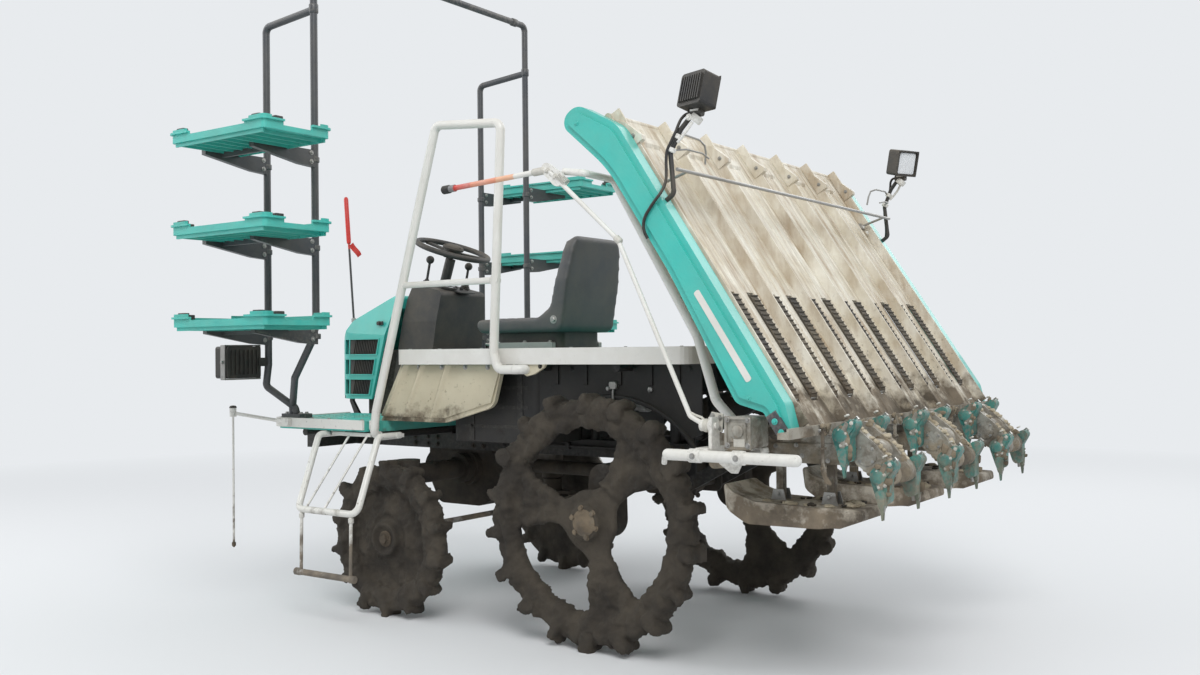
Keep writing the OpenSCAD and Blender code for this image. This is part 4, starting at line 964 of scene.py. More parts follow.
@dataclass(frozen=True)
class Studio:
    """The floor, the light and the camera; sizes in metres and degrees."""

    camera_at: Vector = field(default_factory=lambda: Vector((-2.86145, 4.009, 1.111)))
    yaw: float = -54.5
    pitch: float = 0.6
    roll: float = -0.6
    lens: float = 34.11
    floor_radius: float = 60.0

    def build(self) -> None:
        """Set up the camera, the floor, the world and the lamps."""
        self._camera()
        self._floor()
        self._world()
        self._lamp("key", Vector((-3.5, 4.5, 6.5)), 4.2, 330)
        self._lamp("fill", Vector((5.5, 2.5, 4.0)), 5.0, 120)
        self._lamp("back", Vector((-1.0, -6.0, 5.0)), 5.0, 140)

    def _camera(self) -> None:
        """Place the camera at the photograph's viewing angle."""
        yaw, pitch, roll = (math.radians(angle) for angle in (self.yaw, self.pitch, self.roll))
        ahead = Vector((math.cos(yaw) * math.cos(pitch), math.sin(yaw) * math.cos(pitch), math.sin(pitch)))
        level = ahead.cross(Vector((0, 0, 1))).normalized()
        upright = level.cross(ahead)
        right = level * math.cos(roll) + upright * math.sin(roll)
        up = upright * math.cos(roll) - level * math.sin(roll)
        turn = Matrix((right, up, -ahead)).transposed().to_4x4()
        data = bpy.data.cameras.new("camera")
        data.lens = self.lens
        data.sensor_width = 36
        made = bpy.data.objects.new("camera", data)
        made.matrix_world = Matrix.Translation(self.camera_at) @ turn
        bpy.context.collection.objects.link(made)
        bpy.context.scene.camera = made
        bpy.context.scene.view_settings.view_transform = "Standard"

    def _floor(self) -> None:
        """Lay the pale floor."""
        mesh = bpy.data.meshes.new("studio_floor")
        mesh.from_pydata([(x, y, 0) for x, y in ring(self.floor_radius, 64)], [], [tuple(range(64))])
        material = bpy.data.materials.new("studio_floor")
        material.use_nodes = True
        material.node_tree.nodes.clear()
        sketch = Sketch(material.node_tree)
        shader = sketch.node(
            "ShaderNodeBsdfPrincipled", None, {"Base Color": paint(226, 227, 228), "Roughness": 0.9})
        where = sketch.node(
            "ShaderNodeSeparateXYZ", None, {0: sketch.node("ShaderNodeTexCoord").outputs["Object"]})
        squares = [sketch.math("MULTIPLY", where.outputs[k], where.outputs[k]) for k in range(2)]
        reach = sketch.math("SQRT", sketch.math("ADD", *squares))
        seen = sketch.node("ShaderNodeLightPath").outputs["Is Camera Ray"]
        share = sketch.math("MULTIPLY", sketch.span(reach, 2.4, 9.0), seen)
        far = sketch.node("ShaderNodeEmission", None, {"Color": BACKDROP, "Strength": 1.0})
        surface = sketch.node(
            "ShaderNodeMixShader", None, {0: share, 1: shader.outputs[0], 2: far.outputs[0]})
        sketch.node("ShaderNodeOutputMaterial", None, {"Surface": surface.outputs[0]})
        mesh.materials.append(material)
        made = bpy.data.objects.new("studio_floor", mesh)
        bpy.context.collection.objects.link(made)

    def _world(self) -> None:
        """Light the object softly from all round and show a pale background."""
        world = bpy.data.worlds.new("studio")
        world.use_nodes = True
        world.node_tree.nodes.clear()
        sketch = Sketch(world.node_tree)
        light_path = sketch.node("ShaderNodeLightPath")
        seen = sketch.math(
            "MAXIMUM", light_path.outputs["Is Camera Ray"], light_path.outputs["Is Glossy Ray"])
        seen = sketch.math("MAXIMUM", seen, light_path.outputs["Is Transmission Ray"])
        colour = sketch.mix(seen, (0.58, 0.6, 0.62), BACKDROP)
        ground = sketch.node("ShaderNodeBackground", None, {"Color": colour, "Strength": 1.0})
        sketch.node("ShaderNodeOutputWorld", None, {"Surface": ground.outputs[0]})
        bpy.context.scene.world = world

    @staticmethod
    def _lamp(name: str, spot: Vector, size: float, power: float) -> None:
        """Hang a square soft lamp that looks at the machine's middle.

        Args:
            name: The lamp's name.
            spot: Its place in metres.
            size: Its side's length.
            power: Its power in watts.
        """
        data = bpy.data.lights.new(name, "AREA")
        data.size = size
        data.energy = power
        made = bpy.data.objects.new(name, data)
        made.matrix_world = facing(spot, spot - Vector((0, 0, 0.9)))
        bpy.context.collection.objects.link(made)


SLOPE = level_at(-981, 0, 867) @ Matrix.Rotation(math.radians(33.3), 4, "Y")
LEFT = Vector((0, 1, 0))
FORWARD = Vector((1, 0, 0))
UP = Vector((0, 0, 1))
LOOK_AHEAD = Matrix(((0, 0, 1), (1, 0, 0), (0, 1, 0))).to_4x4()


def in_metres(outline: Iterable[Pair]) -> list[Pair]:
    """Return an outline's rows of millimetres as metres."""
    return [(x * MM, z * MM) for x, z in outline]


def random_size(*spans: Pair) -> Vector:
    """Return a lump's half sizes in metres, drawn between millimetres along X, Y and Z."""
    return Vector([random.uniform(*span) for span in spans]) * MM


def spots(*rows: Row) -> list[Vector]:
    """Return points of the shared frame for rows of millimetres."""
    return [place(*row) for row in rows]


def mirrored(row: Row, side: int) -> Row:
    """Return a row of millimetres on the left side, 1, or the right side, -1."""
    return row[0], row[1] * side, row[2]


def mirrored_spots(side: int, *rows: Row) -> list[Vector]:
    """Return points of the shared frame for rows of millimetres of the left side, on either side."""
    return spots(*(mirrored(row, side) for row in rows))


def slope_spot(depth: float, across: float, along: float) -> Vector:
    """Return the point at millimetres below the table, to its left and up its slope."""
    return SLOPE @ Vector((depth * MM, across * MM, along * MM))


def box_outline(low: Pair, high: Pair) -> list[Pair]:
    """Return a rectangle's corners in metres from millimetres."""
    return in_metres((low, (high[0], low[1]), high, (low[0], high[1])))


def side_turn(side: int = 1) -> Matrix:
    """Return the turn that lays local X and Y along the machine's X and Z, for a side, 1 or -1."""
    return Matrix(((1, 0, 0), (0, 0, side), (0, 1, 0))).to_4x4()


def side_plane(y: float, side: int = 1) -> Matrix:
    """Return the matrix with local X and Y along the machine's X and Z, and local Z out to a side.

    Args:
        y: Millimetres from the middle of the machine.
        side: 1 for the left side, -1 for the right side.

    Returns:
        The matrix; local X starts at the rear axle.
    """
    return level_at(0, y * side, 0) @ side_turn(side)


@dataclass(frozen=True)
class SoftCopy:
    """Rebuilds a CAD node with round edges, and with mud on it where depth isn't 0; sizes in metres."""

    voxel: float
    rounds: int = 2
    depth: float = 0.0
    scale: float = 16.0
    calm: float = 0.0
    band: Row | None = None

    def build(self, node: str, body: str, finish: Finish, axis: Vector | None = None) -> bpy.types.Object:
        """Make the copy, which is shown in the node's place.

        Args:
            node: The CAD node.
            body: The body it moves with.
            finish: Its finish.
            axis: A point on the wheel's axis, where the node is a wheel.

        Returns:
            The new object.
        """
        holder = bpy.data.objects.new(f"{node}_looks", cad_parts[node].data.copy())
        if self.band and axis is not None:
            self._add_band(holder.data, axis)
        bpy.context.collection.objects.link(holder)
        modifier = holder.modifiers.new("voxels", "REMESH")
        modifier.mode = "VOXEL"
        modifier.voxel_size = self.voxel
        graph = bpy.context.evaluated_depsgraph_get()
        mesh = bpy.data.meshes.new_from_object(holder.evaluated_get(graph))
        holder.modifiers.clear()
        holder.data = mesh
        work = bmesh.new()
        work.from_mesh(mesh)
        for _ in range(self.rounds):
            bmesh.ops.smooth_vert(
                work, verts=work.verts, factor=0.5, use_axis_x=True, use_axis_y=True, use_axis_z=True)
        work.normal_update()
        if self.depth:
            self._muddy(work, axis)
        work.to_mesh(mesh)
        work.free()
        mesh.shade_smooth()
        mesh.materials.clear()
        mesh.materials.append(finish.build())
        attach(holder, body)
        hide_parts(node)
        LOG.info("%s: %d faces in place of %s", holder.name, len(mesh.polygons), node)
        return holder

    def _add_band(self, mesh: bpy.types.Mesh, axis: Vector) -> None:
        """Join a ring of packed mud to the wheel's rim, with the radii and the half width from band.

        Args:
            mesh: The wheel's mesh.
            axis: A point on the wheel's axis.
        """
        inner, outer, half = self.band
        count = 96
        work = bmesh.new()
        work.from_mesh(mesh)
        rows = []
        flank = ((inner, half * 0.6), (inner + 0.02, half), (outer - 0.014, half), (outer, half * 0.6))
        profile = [(inner, -half * 0.6), *flank, *((radius, -across) for radius, across in flank[:0:-1])]
        for radius, across in profile:
            rows.append([work.verts.new(axis + Vector((x, across, z))) for x, z in ring(radius, count)])
        for a, b in zip(rows, rows[1:] + rows[:1]):
            for k in range(count):
                work.faces.new((a[k], a[(k + 1) % count], b[(k + 1) % count], b[k]))
        bmesh.ops.recalc_face_normals(work, faces=work.faces)
        work.to_mesh(mesh)
        work.free()

    def _muddy(self, work: bmesh.types.BMesh, axis: Vector | None) -> None:
        """Push the surface out in lumps.

        Args:
            work: The mesh to change.
            axis: A point on the wheel's axis, where it is a wheel.
        """
        spans = [[vertex.co[axis_no] for vertex in work.verts] for axis_no in range(3)]
        low, high = Vector([min(span) for span in spans]), Vector([max(span) for span in spans])
        moves = []
        edge = 0.003
        for vertex in work.verts:
            spot = vertex.co * self.scale
            lumps = noise.noise(spot) + 0.5 * noise.noise(spot * 2.7) + 0.25 * noise.noise(spot * 7)
            amount = self.depth * max(0.0, 0.35 + lumps)
            if axis is not None:
                reach = math.hypot(vertex.co.x - axis.x, vertex.co.z - axis.z)
                if reach < self.calm:
                    amount *= 0.12
                if vertex.normal.y * axis.y < -0.3:
                    amount *= 0.3
            moved = vertex.co + vertex.normal * amount
            moves.append(
                Vector(
                    min(max(part, bottom - edge), top + edge) for part, bottom, top in zip(moved, low, high)
                ))
        for vertex, moved in zip(work.verts, moves):
            vertex.co = moved


@dataclass(frozen=True)
class Wheels:
    """The lugged wheels under their mud; millimetres."""

    rear_y: float = 604.0
    rear_radius: float = 475.0
    front_x: float = 1040.0
    front_y: float = 610.0
    front_radius: float = 325.0
    cap_y: float = 644.0
    bolt_circle: float = 54.0
    nut_y: float = 639.0

    def build(self) -> None:
        """Make the four muddy wheels."""
        for name, side in (("left", 1), ("right", -1)):
            rear = SoftCopy(0.0085, 2, 0.02, 15.0, 0.15, (0.352, 0.444, 0.033))
            rear.build(
                f"rear_wheel_{name}", f"rear_wheel_{name}", MUDDY_WHEEL,
                place(0, self.rear_y * side, self.rear_radius))
            front = SoftCopy(0.0075, 2, 0.015, 17.0, 0.1, (0.216, 0.304, 0.032))
            front.build(
                f"front_wheel_{name}", f"front_wheel_{name}", MUDDY_WHEEL,
                place(self.front_x, self.front_y * side, self.front_radius))
            self.dress(name, side)

    def dress(self, name: str, side: int) -> None:
        """Add a side's hub caps, wheel bolts and clods.

        Args:
            name: The side's name.
            side: 1 for the left side, -1 for the right side.
        """
        out = LEFT * side
        cap = Shape()
        cap.lathe(
            [(0.05, 0.0), (0.05, 0.004), (0.034, 0.008), (0.024, 0.016), (0.008, 0.02)], 24,
            facing(place(0, self.cap_y * side, self.rear_radius), out))
        for k in range(6):
            angle = k * math.pi / 3 + 0.3
            x, z = self.bolt_circle * math.cos(angle), self.rear_radius + self.bolt_circle * math.sin(angle)
            Bolt(0.017, 0.008, 0.0125).put(cap, place(x, (self.cap_y + 1) * side, z), out)
        cap.piece(f"rear_hub_cap_{name}", CAST_CASE, f"rear_wheel_{name}", True)
        nut = Shape()
        nut.lathe(
            [(0.034, 0.0), (0.034, 0.004), (0.03, 0.006)], 20,
            facing(place(self.front_x, self.nut_y * side, self.front_radius), out))
        Bolt(0.036, 0.012, 0.026, 0.004).put(
            nut, place(self.front_x, (self.nut_y + 5) * side, self.front_radius), out)
        nut.piece(f"front_axle_nut_{name}", CAST_CASE, f"front_wheel_{name}")
        for kind, x, y, radius, rim, count in (
            ("rear", 0.0, self.rear_y, self.rear_radius, 370.0, 70),
            ("front", self.front_x, self.front_y, self.front_radius, 240.0, 40),
        ):
            mud = Shape()
            for k in range(count):
                angle = random.uniform(0, 2 * math.pi)
                reach = rim + random.uniform(-12, 34)
                where = place(
                    x + reach * math.cos(angle), (y + random.uniform(-6, 26)) * side,
                    radius + reach * math.sin(angle))
                size = random_size((9, 24), (7, 15), (9, 24))
                mud.clod(where, size, k * 1.7)
            mud.piece(f"{kind}_wheel_clods_{name}", MUDDY_WHEEL, f"{kind}_wheel_{name}", True, 80)


@dataclass(frozen=True)
class SeedlingTable:
    """Ribs, belt cleats, stops and rods of the inclined table; millimetres on its slope."""

    lanes: int = 6
    pitch: float = 290.0
    length: float = 1236.0
    half_width: float = 885.0
    ribs: int = 5
    rib_pitch: float = 52.0
    belt_y: float = 66.0
    cleats: int = 21
    cleat_pitch: float = 19.0

    def build(self) -> None:
        """Make the table's fittings."""
        self._ribs()
        self._belts()
        self._upper_edge()
        self._rods()

    def _lane(self, lane: int) -> float:
        """Return the middle of a lane."""
        return (lane - (self.lanes - 1) / 2) * self.pitch

    def _ribs(self) -> None:
        """Raise the low ribs that the mats slide on."""
        shape = Shape()
        for lane in range(self.lanes):
            for k in range(self.ribs):
                y = self._lane(lane) + (k - (self.ribs - 1) / 2) * self.rib_pitch
                near_belt = abs(abs(y - self._lane(lane)) - self.belt_y) < 30
                start = 520 if near_belt else 16
                rings = []
                for z, rise in (
                    (start, 0.5), (start + 14, 3.4), (self.length - 44, 3.4), (self.length - 26, 0.5)
                ):
                    rings.append([
                        slope_spot(depth, y + off, z)
                        for off, depth in ((-5.5, 0.4), (-3, -rise), (3, -rise), (5.5, 0.4))])
                shape.loft(rings)
        shape.piece("lane_ribs", CREAM_TABLE, "seedling_table")

    def _belts(self) -> None:
        """Put cleats on the feed belts and rollers at their ends."""
        cleats, rollers = Shape(), Shape()
        for lane in range(self.lanes):
            for j in (-1, 1):
                y = self._lane(lane) + self.belt_y * j
                for k in range(self.cleats):
                    z = 112 + k * self.cleat_pitch
                    rings = [
                        [
                            slope_spot(depth, y + off, z + w)
                            for w, depth in ((-4, -6.6), (-1.5, -12), (1.5, -12), (4, -6.6))]
                        for off in (-22, 22)]
                    cleats.loft(rings)
                for z in (104, 496):
                    rollers.collar(0.007, 0.0085, 0.018, 0.021, 14, facing(slope_spot(6, y, z), LEFT))
        cleats.piece("feed_belt_cleats", BELT_RUBBER, "seedling_table")
        rollers.piece("feed_belt_rollers", BARE_STEEL, "seedling_table", True)

    def _upper_edge(self) -> None:
        """Fit a folded stop to the top of each divider and brackets below the sheet."""
        stops, bolts, brackets = Shape(), Shape(), Shape()
        for k in range(self.lanes + 1):
            y = (k - self.lanes / 2) * self.pitch
            y = max(min(y, self.half_width - 16), -self.half_width + 16)
            outline = [(-0.052, 0), (-0.058, 0.012), (-0.03, 0.09), (-0.002, 0.13), (-0.002, 0)]
            foot = Vector((0, y * MM, (self.length - 150) * MM))
            where = SLOPE @ Matrix.Translation(foot) @ side_turn()
            stops.pad(outline, -0.011, 0.011, 0.002, where)
            Bolt(0.008, 0.004, 0.008).put(bolts, slope_spot(-30, y + 11, self.length - 118), LEFT)
            brackets.pad(
                box_outline((1, -15), (27, 15)), 0, 0.07, 0.004,
                SLOPE @ Matrix.Translation(Vector((0.012, y * MM, 0.6))))
        for k in range(self.lanes):
            y = self._lane(k)
            rings = []
            for z, rise in (
                (self.length - 120, 1), (self.length - 108, 8), (self.length - 84, 8), (self.length - 72, 1)
            ):
                rings.append([
                    slope_spot(depth, y + off, z)
                    for off, depth in ((-58, 0.5), (-50, -rise), (50, -rise), (58, 0.5))])
            stops.loft(rings)
        stops.piece("mat_stops", CREAM_TABLE, "seedling_table")
        bolts.piece("mat_stop_bolts", BARE_STEEL, "seedling_table")
        brackets.piece("table_back_brackets", CREAM_TABLE, "seedling_table")

    def _rods(self) -> None:
        """Run the thin rods from the lamp poles over the table and clamp the hold-down rod."""
        rods, clamps = Shape(), Shape()
        for side in SIDES:
            rods.tube(
                mirrored_spots(
                    side, (-574, 902, 1790), (-578, 860, 1802), (-576, 760, 1800), (-570, 716, 1788),
                    (-566, 702, 1764), (-560, 698, 1728)),
                0.0035, 8)
            rods.tube(
                mirrored_spots(
                    side, (-560, 898, 1748), (-590, 868, 1752), (-604, 790, 1748), (-600, 742, 1738)),
                0.003, 8)
            for rise in (8, 50):
                spot = place(-556 - rise * 0.47, (910 - rise * 0.139) * side, 1740 + rise)
                clamps.collar(
                    0.012, 0.0145, 0.005, 0.008, 16,
                    facing(spot, place(-590, 901, 1812) - place(-556, 910, 1740)))
            for z in (896, 928):
                Bolt(0.009, 0.005, 0.009).put(
                    clamps, slope_spot(-12, 843 * side, z), SLOPE.to_3x3() @ Vector((-1, 0, 0)))
        rods.piece("table_thin_rods", BARE_STEEL, "seedling_table", True)
        clamps.piece("rod_clamps", WHITE_TUBE, "seedling_table", True)


@dataclass(frozen=True)
class SideBeams:
    """Strips, feet and bolts of the table's side beams; millimetres on its slope."""

    face_y: float = 950.6
    length: float = 1236.0

    def build(self) -> None:
        """Dress both beams."""
        strips, bolts, feet = Shape(), Shape(), Shape()
        for side in SIDES:
            turn = Matrix(((0, 1, 0), (0, 0, side), (1, 0, 0))).to_4x4()
            where = SLOPE @ Matrix.Translation(Vector((0, (self.face_y - 0.2) * side * MM, 0))) @ turn
            strips.pad(self._band(196, 520, 18, 40), 0, 0.0014, 0.0006, where)
            for z, depth in ((150, 62), (1262, 92)):
                Bolt(0.009, 0.003, 0.009).put(bolts, slope_spot(depth, self.face_y * side, z), LEFT * side)
            feet.pad(
                box_outline((-8, 2), (60, 42)), -0.052, 0.004, 0.004,
                where @ Matrix.Translation(Vector((0.012, 0.002, 0))))
            for z in (6, 44):
                Bolt(0.01, 0.005, 0.01).put(
                    bolts, slope_spot(24, (self.face_y + 3.6) * side, z), LEFT * side)
        strips.piece("side_beam_strips", WHITE_BAND, "seedling_table")
        bolts.piece("side_beam_bolts", TEAL_PANEL, "seedling_table")
        feet.piece("side_beam_feet", DARK_PAINT, "seedling_table")

    @staticmethod
    def _band(start: float, end: float, low: float, high: float) -> list[Pair]:
        """Return a strip's outline with round ends, in metres along the slope and below it.

        Args:
            start: Its lower end along the slope, in millimetres.
            end: Its upper end.
            low: Its near edge below the table.
            high: Its far edge.

        Returns:
            The outline in metres.
        """
        middle, half = (low + high) / 2, (high - low) / 2
        outline = []
        for z, turn in ((end, -90), (start, 90)):
            for step in range(7):
                angle = math.radians(turn + step * 30)
                outline.append((z + half * 0.5 * math.cos(angle), middle + half * math.sin(angle)))
        return in_metres(outline)


@dataclass(frozen=True)
class WorkLamps:
    """Lenses, ridged backs and brackets of the two work lamps; millimetres."""

    size: float = 112.0
    depth: float = 66.0
    spot: Row = (-650.0, 889.3, 1926.0)

    def build(self) -> None:
        """Dress both lamps."""
        for name, side, aim in (("left", 1, 252.0), ("right", -1, 209.0)):
            where = self._frame(side, aim)
            self._lens(name, where)
            self._back(name, where)
            self._bracket(name, side)

    def _frame(self, side: int, aim: float) -> Matrix:
        """Return the matrix whose local Z looks out of the lens, from the lamp's back.

        Args:
            side: 1 for the left lamp, -1 for the right one.
            aim: Where the lens looks, in degrees from the front.

        Returns:
            The matrix.
        """
        turn = Matrix.Rotation(math.radians(aim), 4, "Z") @ Matrix.Rotation(math.radians(14), 4, "Y")
        if side < 0:
            flip = Matrix.Diagonal((1, -1, 1, 1))
            turn = flip @ turn @ flip
        back = Matrix.Translation(Vector((-self.depth / 2 * MM, 0, 0)))
        return level_at(*mirrored(self.spot, side)) @ turn @ back @ LOOK_AHEAD

    def _lens(self, name: str, where: Matrix) -> None:
        """Set a ribbed lens into the lamp's open side.

        Args:
            name: The side's name.
            where: The lamp's matrix.
        """
        lens, rim = Shape(), Shape()
        half = self.size / 2 - 9
        lens.pad(soft_rectangle(2 * half * MM, 2 * half * MM, 0.008), 0.0555, 0.061, 0.002, where)
        for k in range(-5, 6):
            lens.prism(
                box_outline((k * 8 - 2.4, -half + 4), (k * 8 + 2.4, half - 4)), 0.0605, 0.0622, where)
        lens.piece(f"work_lamp_lens_{name}", LENS, "seedling_table")
        strips = (
            ((-56, -56), (56, -49)), ((-56, 49), (56, 56)), ((-56, -49), (-49, 49)), ((49, -49), (56, 49)))
        for start, end in strips:
            rim.pad(box_outline(start, end), 0.0655, 0.069, 0.001, where)
        for x in (-49, 49):
            for y in (-49, 49):
                Bolt(0.006, 0.003, 0.006).put(
                    rim, where @ Vector((x * MM, y * MM, 0.0685)), where.to_3x3() @ UP)
        rim.piece(f"work_lamp_rim_{name}", DARK_MOULDING, "seedling_table")

    def _back(self, name: str, where: Matrix) -> None:
        """Put cooling ridges on the lamp's back.

        Args:
            name: The side's name.
            where: The lamp's matrix.
        """
        ridges = Shape()
        for k in range(-4, 5):
            ridges.pad(
                box_outline((k * 11 - 2.5, -42), (k * 11 + 2.5, 42)), -0.001, 0.007, 0.001,
                where @ Matrix.Rotation(math.pi, 4, "Y"))
        ridges.piece(f"work_lamp_ridges_{name}", DARK_MOULDING, "seedling_table")

    def _bracket(self, name: str, side: int) -> None:
        """Hold the lamp in a pale bracket at the pole's end.

        Args:
            name: The side's name.
            side: 1 for the left lamp, -1 for the right one.
        """
        shape = Shape()
        shape.pad(
            soft_rectangle(0.034, 0.03, 0.006), -0.004, 0.003, 0.001, level_at(-640, 889.3 * side, 1868))
        out = LEFT * side
        shape.collar(
            0.019, 0.021, 0.008, 0.012, 18,
            facing(place(-641, 889.3 * side, 1842), place(-640, 889.3, 1870) - place(-590, 900.3, 1812)))
        Bolt(0.012, 0.007, 0.011).put(shape, place(-626, 911 * side, 1845), out)
        shape.tube(
            mirrored_spots(
                side, (-634, 902, 1830), (-618, 908, 1806), (-598, 909, 1784), (-582, 909, 1770)),
            0.005, 8)
        shape.piece(f"work_lamp_bracket_{name}", WHITE_TUBE, "seedling_table", True)


@dataclass(frozen=True)
class Seat:
    """The moulded bucket seat with its cushion ridges, rails and hinge bolts; millimetres."""

    cushion_z: float = 1249.0

    def build(self) -> None:
        """Make the soft seat and its fittings."""
        SoftCopy(0.009, 7).build("seat", "chassis", SEAT_SKIN)
        ridges, rails, bolts = Shape(), Shape(), Shape()
        for k in range(5):
            x = 620 + k * 56
            rings = []
            for y, rise in ((-128, 0.5), (-112, 5), (112, 5), (128, 0.5)):
                rings.append(
                    spots(
                        *(
                            (x + off, y, self.cushion_z + lift)
                            for off, lift in ((-22, -3), (-16, rise), (16, rise), (22, -3)))))
            ridges.loft(rings)
        for k in range(4):
            z = 1330 + k * 58
            x = 470 - (z - 1290) * 0.27
            rings = []
            for y, rise in ((-118, -2), (-104, 4), (104, 4), (118, -2)):
                rings.append(
                    spots(
                        *((x + rise - off * 0.27, y, z + off) for off in (-20, 20)),
                        *((x - 12 - off * 0.27, y, z + off) for off in (20, -20))))
            ridges.loft(rings)
        ridges.piece("seat_ridges", SEAT_SKIN, "chassis")
        for side in SIDES:
            rails.pad(box_outline((500, -12), (850, 12)), 0, 0.026, 0.003, level_at(0, 170 * side, 1119))
            rails.tube(
                spots(
                    (846, 170 * side, 1136), (880, 170 * side, 1140), (894, 150 * side, 1142),
                    (896, 60 * side, 1142)),
                0.006, 8)
            for x in (520, 660, 820):
                Bolt(0.012, 0.006, 0.011).put(bolts, place(x, 170 * side, 1145), UP)
            Bolt(0.02, 0.008, 0.018).put(bolts, place(478, 199 * side, 1240), LEFT * side)
        rails.piece("seat_rails", BARE_STEEL, "chassis")
        bolts.piece("seat_bolts", BARE_STEEL, "chassis")


@dataclass(frozen=True)
class BonnetTrim:
    """Slats, frames and catches of the bonnet's vents; millimetres."""

    rows: int = 3
    height: float = 70.0
    face_y: float = 228.0

    def build(self) -> None:
        """Dress both sides of the bonnet."""
        slats, frames, catches = Shape(), Shape(), Shape()
        for side in SIDES:
            for row in range(self.rows):
                low = 908 + row * (self.height + 26)
                back = 1576 - row * 26
                x = back - 8
                while x < 1700:
                    top = low + self.height
                    outline = in_metres(((x, low), (x + 3.6, low), (x - 12.4, top), (x - 16, top)))
                    slats.prism(outline, -0.0155, -0.009, side_plane(self.face_y, side))
                    x += 11.5
                outer = [
                    (back - 5, low - 5), (1712, low - 5), (1708, low + self.height + 5),
                    (back - 24, low + self.height + 5)]
                inner = [
                    (back, low), (1706, low), (1702, low + self.height), (back - 18, low + self.height)]
                for k in range(4):
                    corner = [outer[k], outer[(k + 1) % 4], inner[(k + 1) % 4], inner[k]]
                    frames.prism(in_metres(corner), -0.002, 0.0022, side_plane(self.face_y, side))
            catches.pad(
                in_metres(
                    (x + 1500, z + 1246) for x, z in ((-18, -9), (18, -9), (22, 0), (18, 9), (-18, 9))),
                -0.002, 0.007, 0.002, side_plane(self.face_y - 6, side))
            Bolt(0.011, 0.005, 0.011).put(catches, place(1500, (self.face_y + 1) * side, 1246), LEFT * side)
        slats.piece("vent_slats", DARK_MOULDING, "bonnet")
        frames.piece("vent_frames", TEAL_PANEL, "bonnet")
        catches.piece("bonnet_catches", DARK_MOULDING, "bonnet")


@dataclass(frozen=True)
class Console:
    """Gauge, knobs, lever boots and steering details of the dash; millimetres."""

    front_slope: float = 44.0 / 184.0
    wheel_spot: Row = (1236.0, 0.0, 1591.0)
    wheel_lean: float = 19.6

    def top(self, x: float) -> float:
        """Return the dash's height in millimetres at a place along X."""
        return 1388 + (x - 1168) * self.front_slope

    def _flat(self, x: float, y: float, rise: float = 0.0) -> Matrix:
        """Return the matrix that lies on the dash's top."""
        return facing(place(x, y, self.top(x) + rise), Vector((-self.front_slope, 0, 1)))

    def build(self) -> None:
        """Make the console's fittings."""
        dash, glass, knobs, boots = Shape(), Shape(), Shape(), Shape()
        dash.pad(soft_rectangle(0.1, 0.19, 0.012), -0.001, 0.005, 0.0015, self._flat(1226, 0))
        dash.lathe(
            [(0.036, 0.0), (0.038, 0.004), (0.038, 0.012), (0.033, 0.015), (0.0315, 0.011)], 32,
            self._flat(1222, 46))
        glass.lathe(
            [(0.0312, 0.006), (0.031, 0.0118), (0.02, 0.0126), (0.004, 0.0128)], 32, self._flat(1222, 46))
        for k in range(4):
            knobs.lathe(
                [(0.008, 0.003), (0.008, 0.012), (0.0065, 0.016), (0.003, 0.0165)], 16,
                self._flat(1206 + (k % 2) * 34, -22 - (k // 2) * 40))
        for x, y in ((1296, 122), (1272, -122)):
            where = self._flat(x, y)
            boots.lathe(
                [
                    (0.024, -0.001), (0.024, 0.005), (0.018, 0.008), (0.021, 0.013), (0.015, 0.017),
                    (0.018, 0.022), (0.012, 0.027), (0.0075, 0.034)],
                20, where)
        dash.piece("dash_panel", DARK_MOULDING, "chassis", True)
        glass.piece("gauge_glass", LENS, "chassis", True)
        knobs.piece("dash_knobs", RUBBER, "chassis", True)
        boots.piece("lever_boots", RUBBER, "chassis", True)
        column = Shape()
        lean = math.radians(self.wheel_lean)
        up = Vector((-math.sin(lean), 0, math.cos(lean)))
        where = facing(place(*self.wheel_spot), up)
        column.lathe(
            [(0.05, 0.004), (0.052, 0.012), (0.046, 0.021), (0.03, 0.026), (0.006, 0.0275)], 32, where)
        for k in range(3):
            spin = Matrix.Rotation(k * math.pi * 2 / 3 + 0.5, 4, "Z")
            spoke = where @ spin @ Matrix.Translation(Vector((0.03, 0, -0.004)))
            column.pad(soft_rectangle(0.034, 0.008, 0.003), 0.02, 0.0285, 0.001, spoke)
        column.piece("steering_cap", RUBBER, "steering_wheel", True)


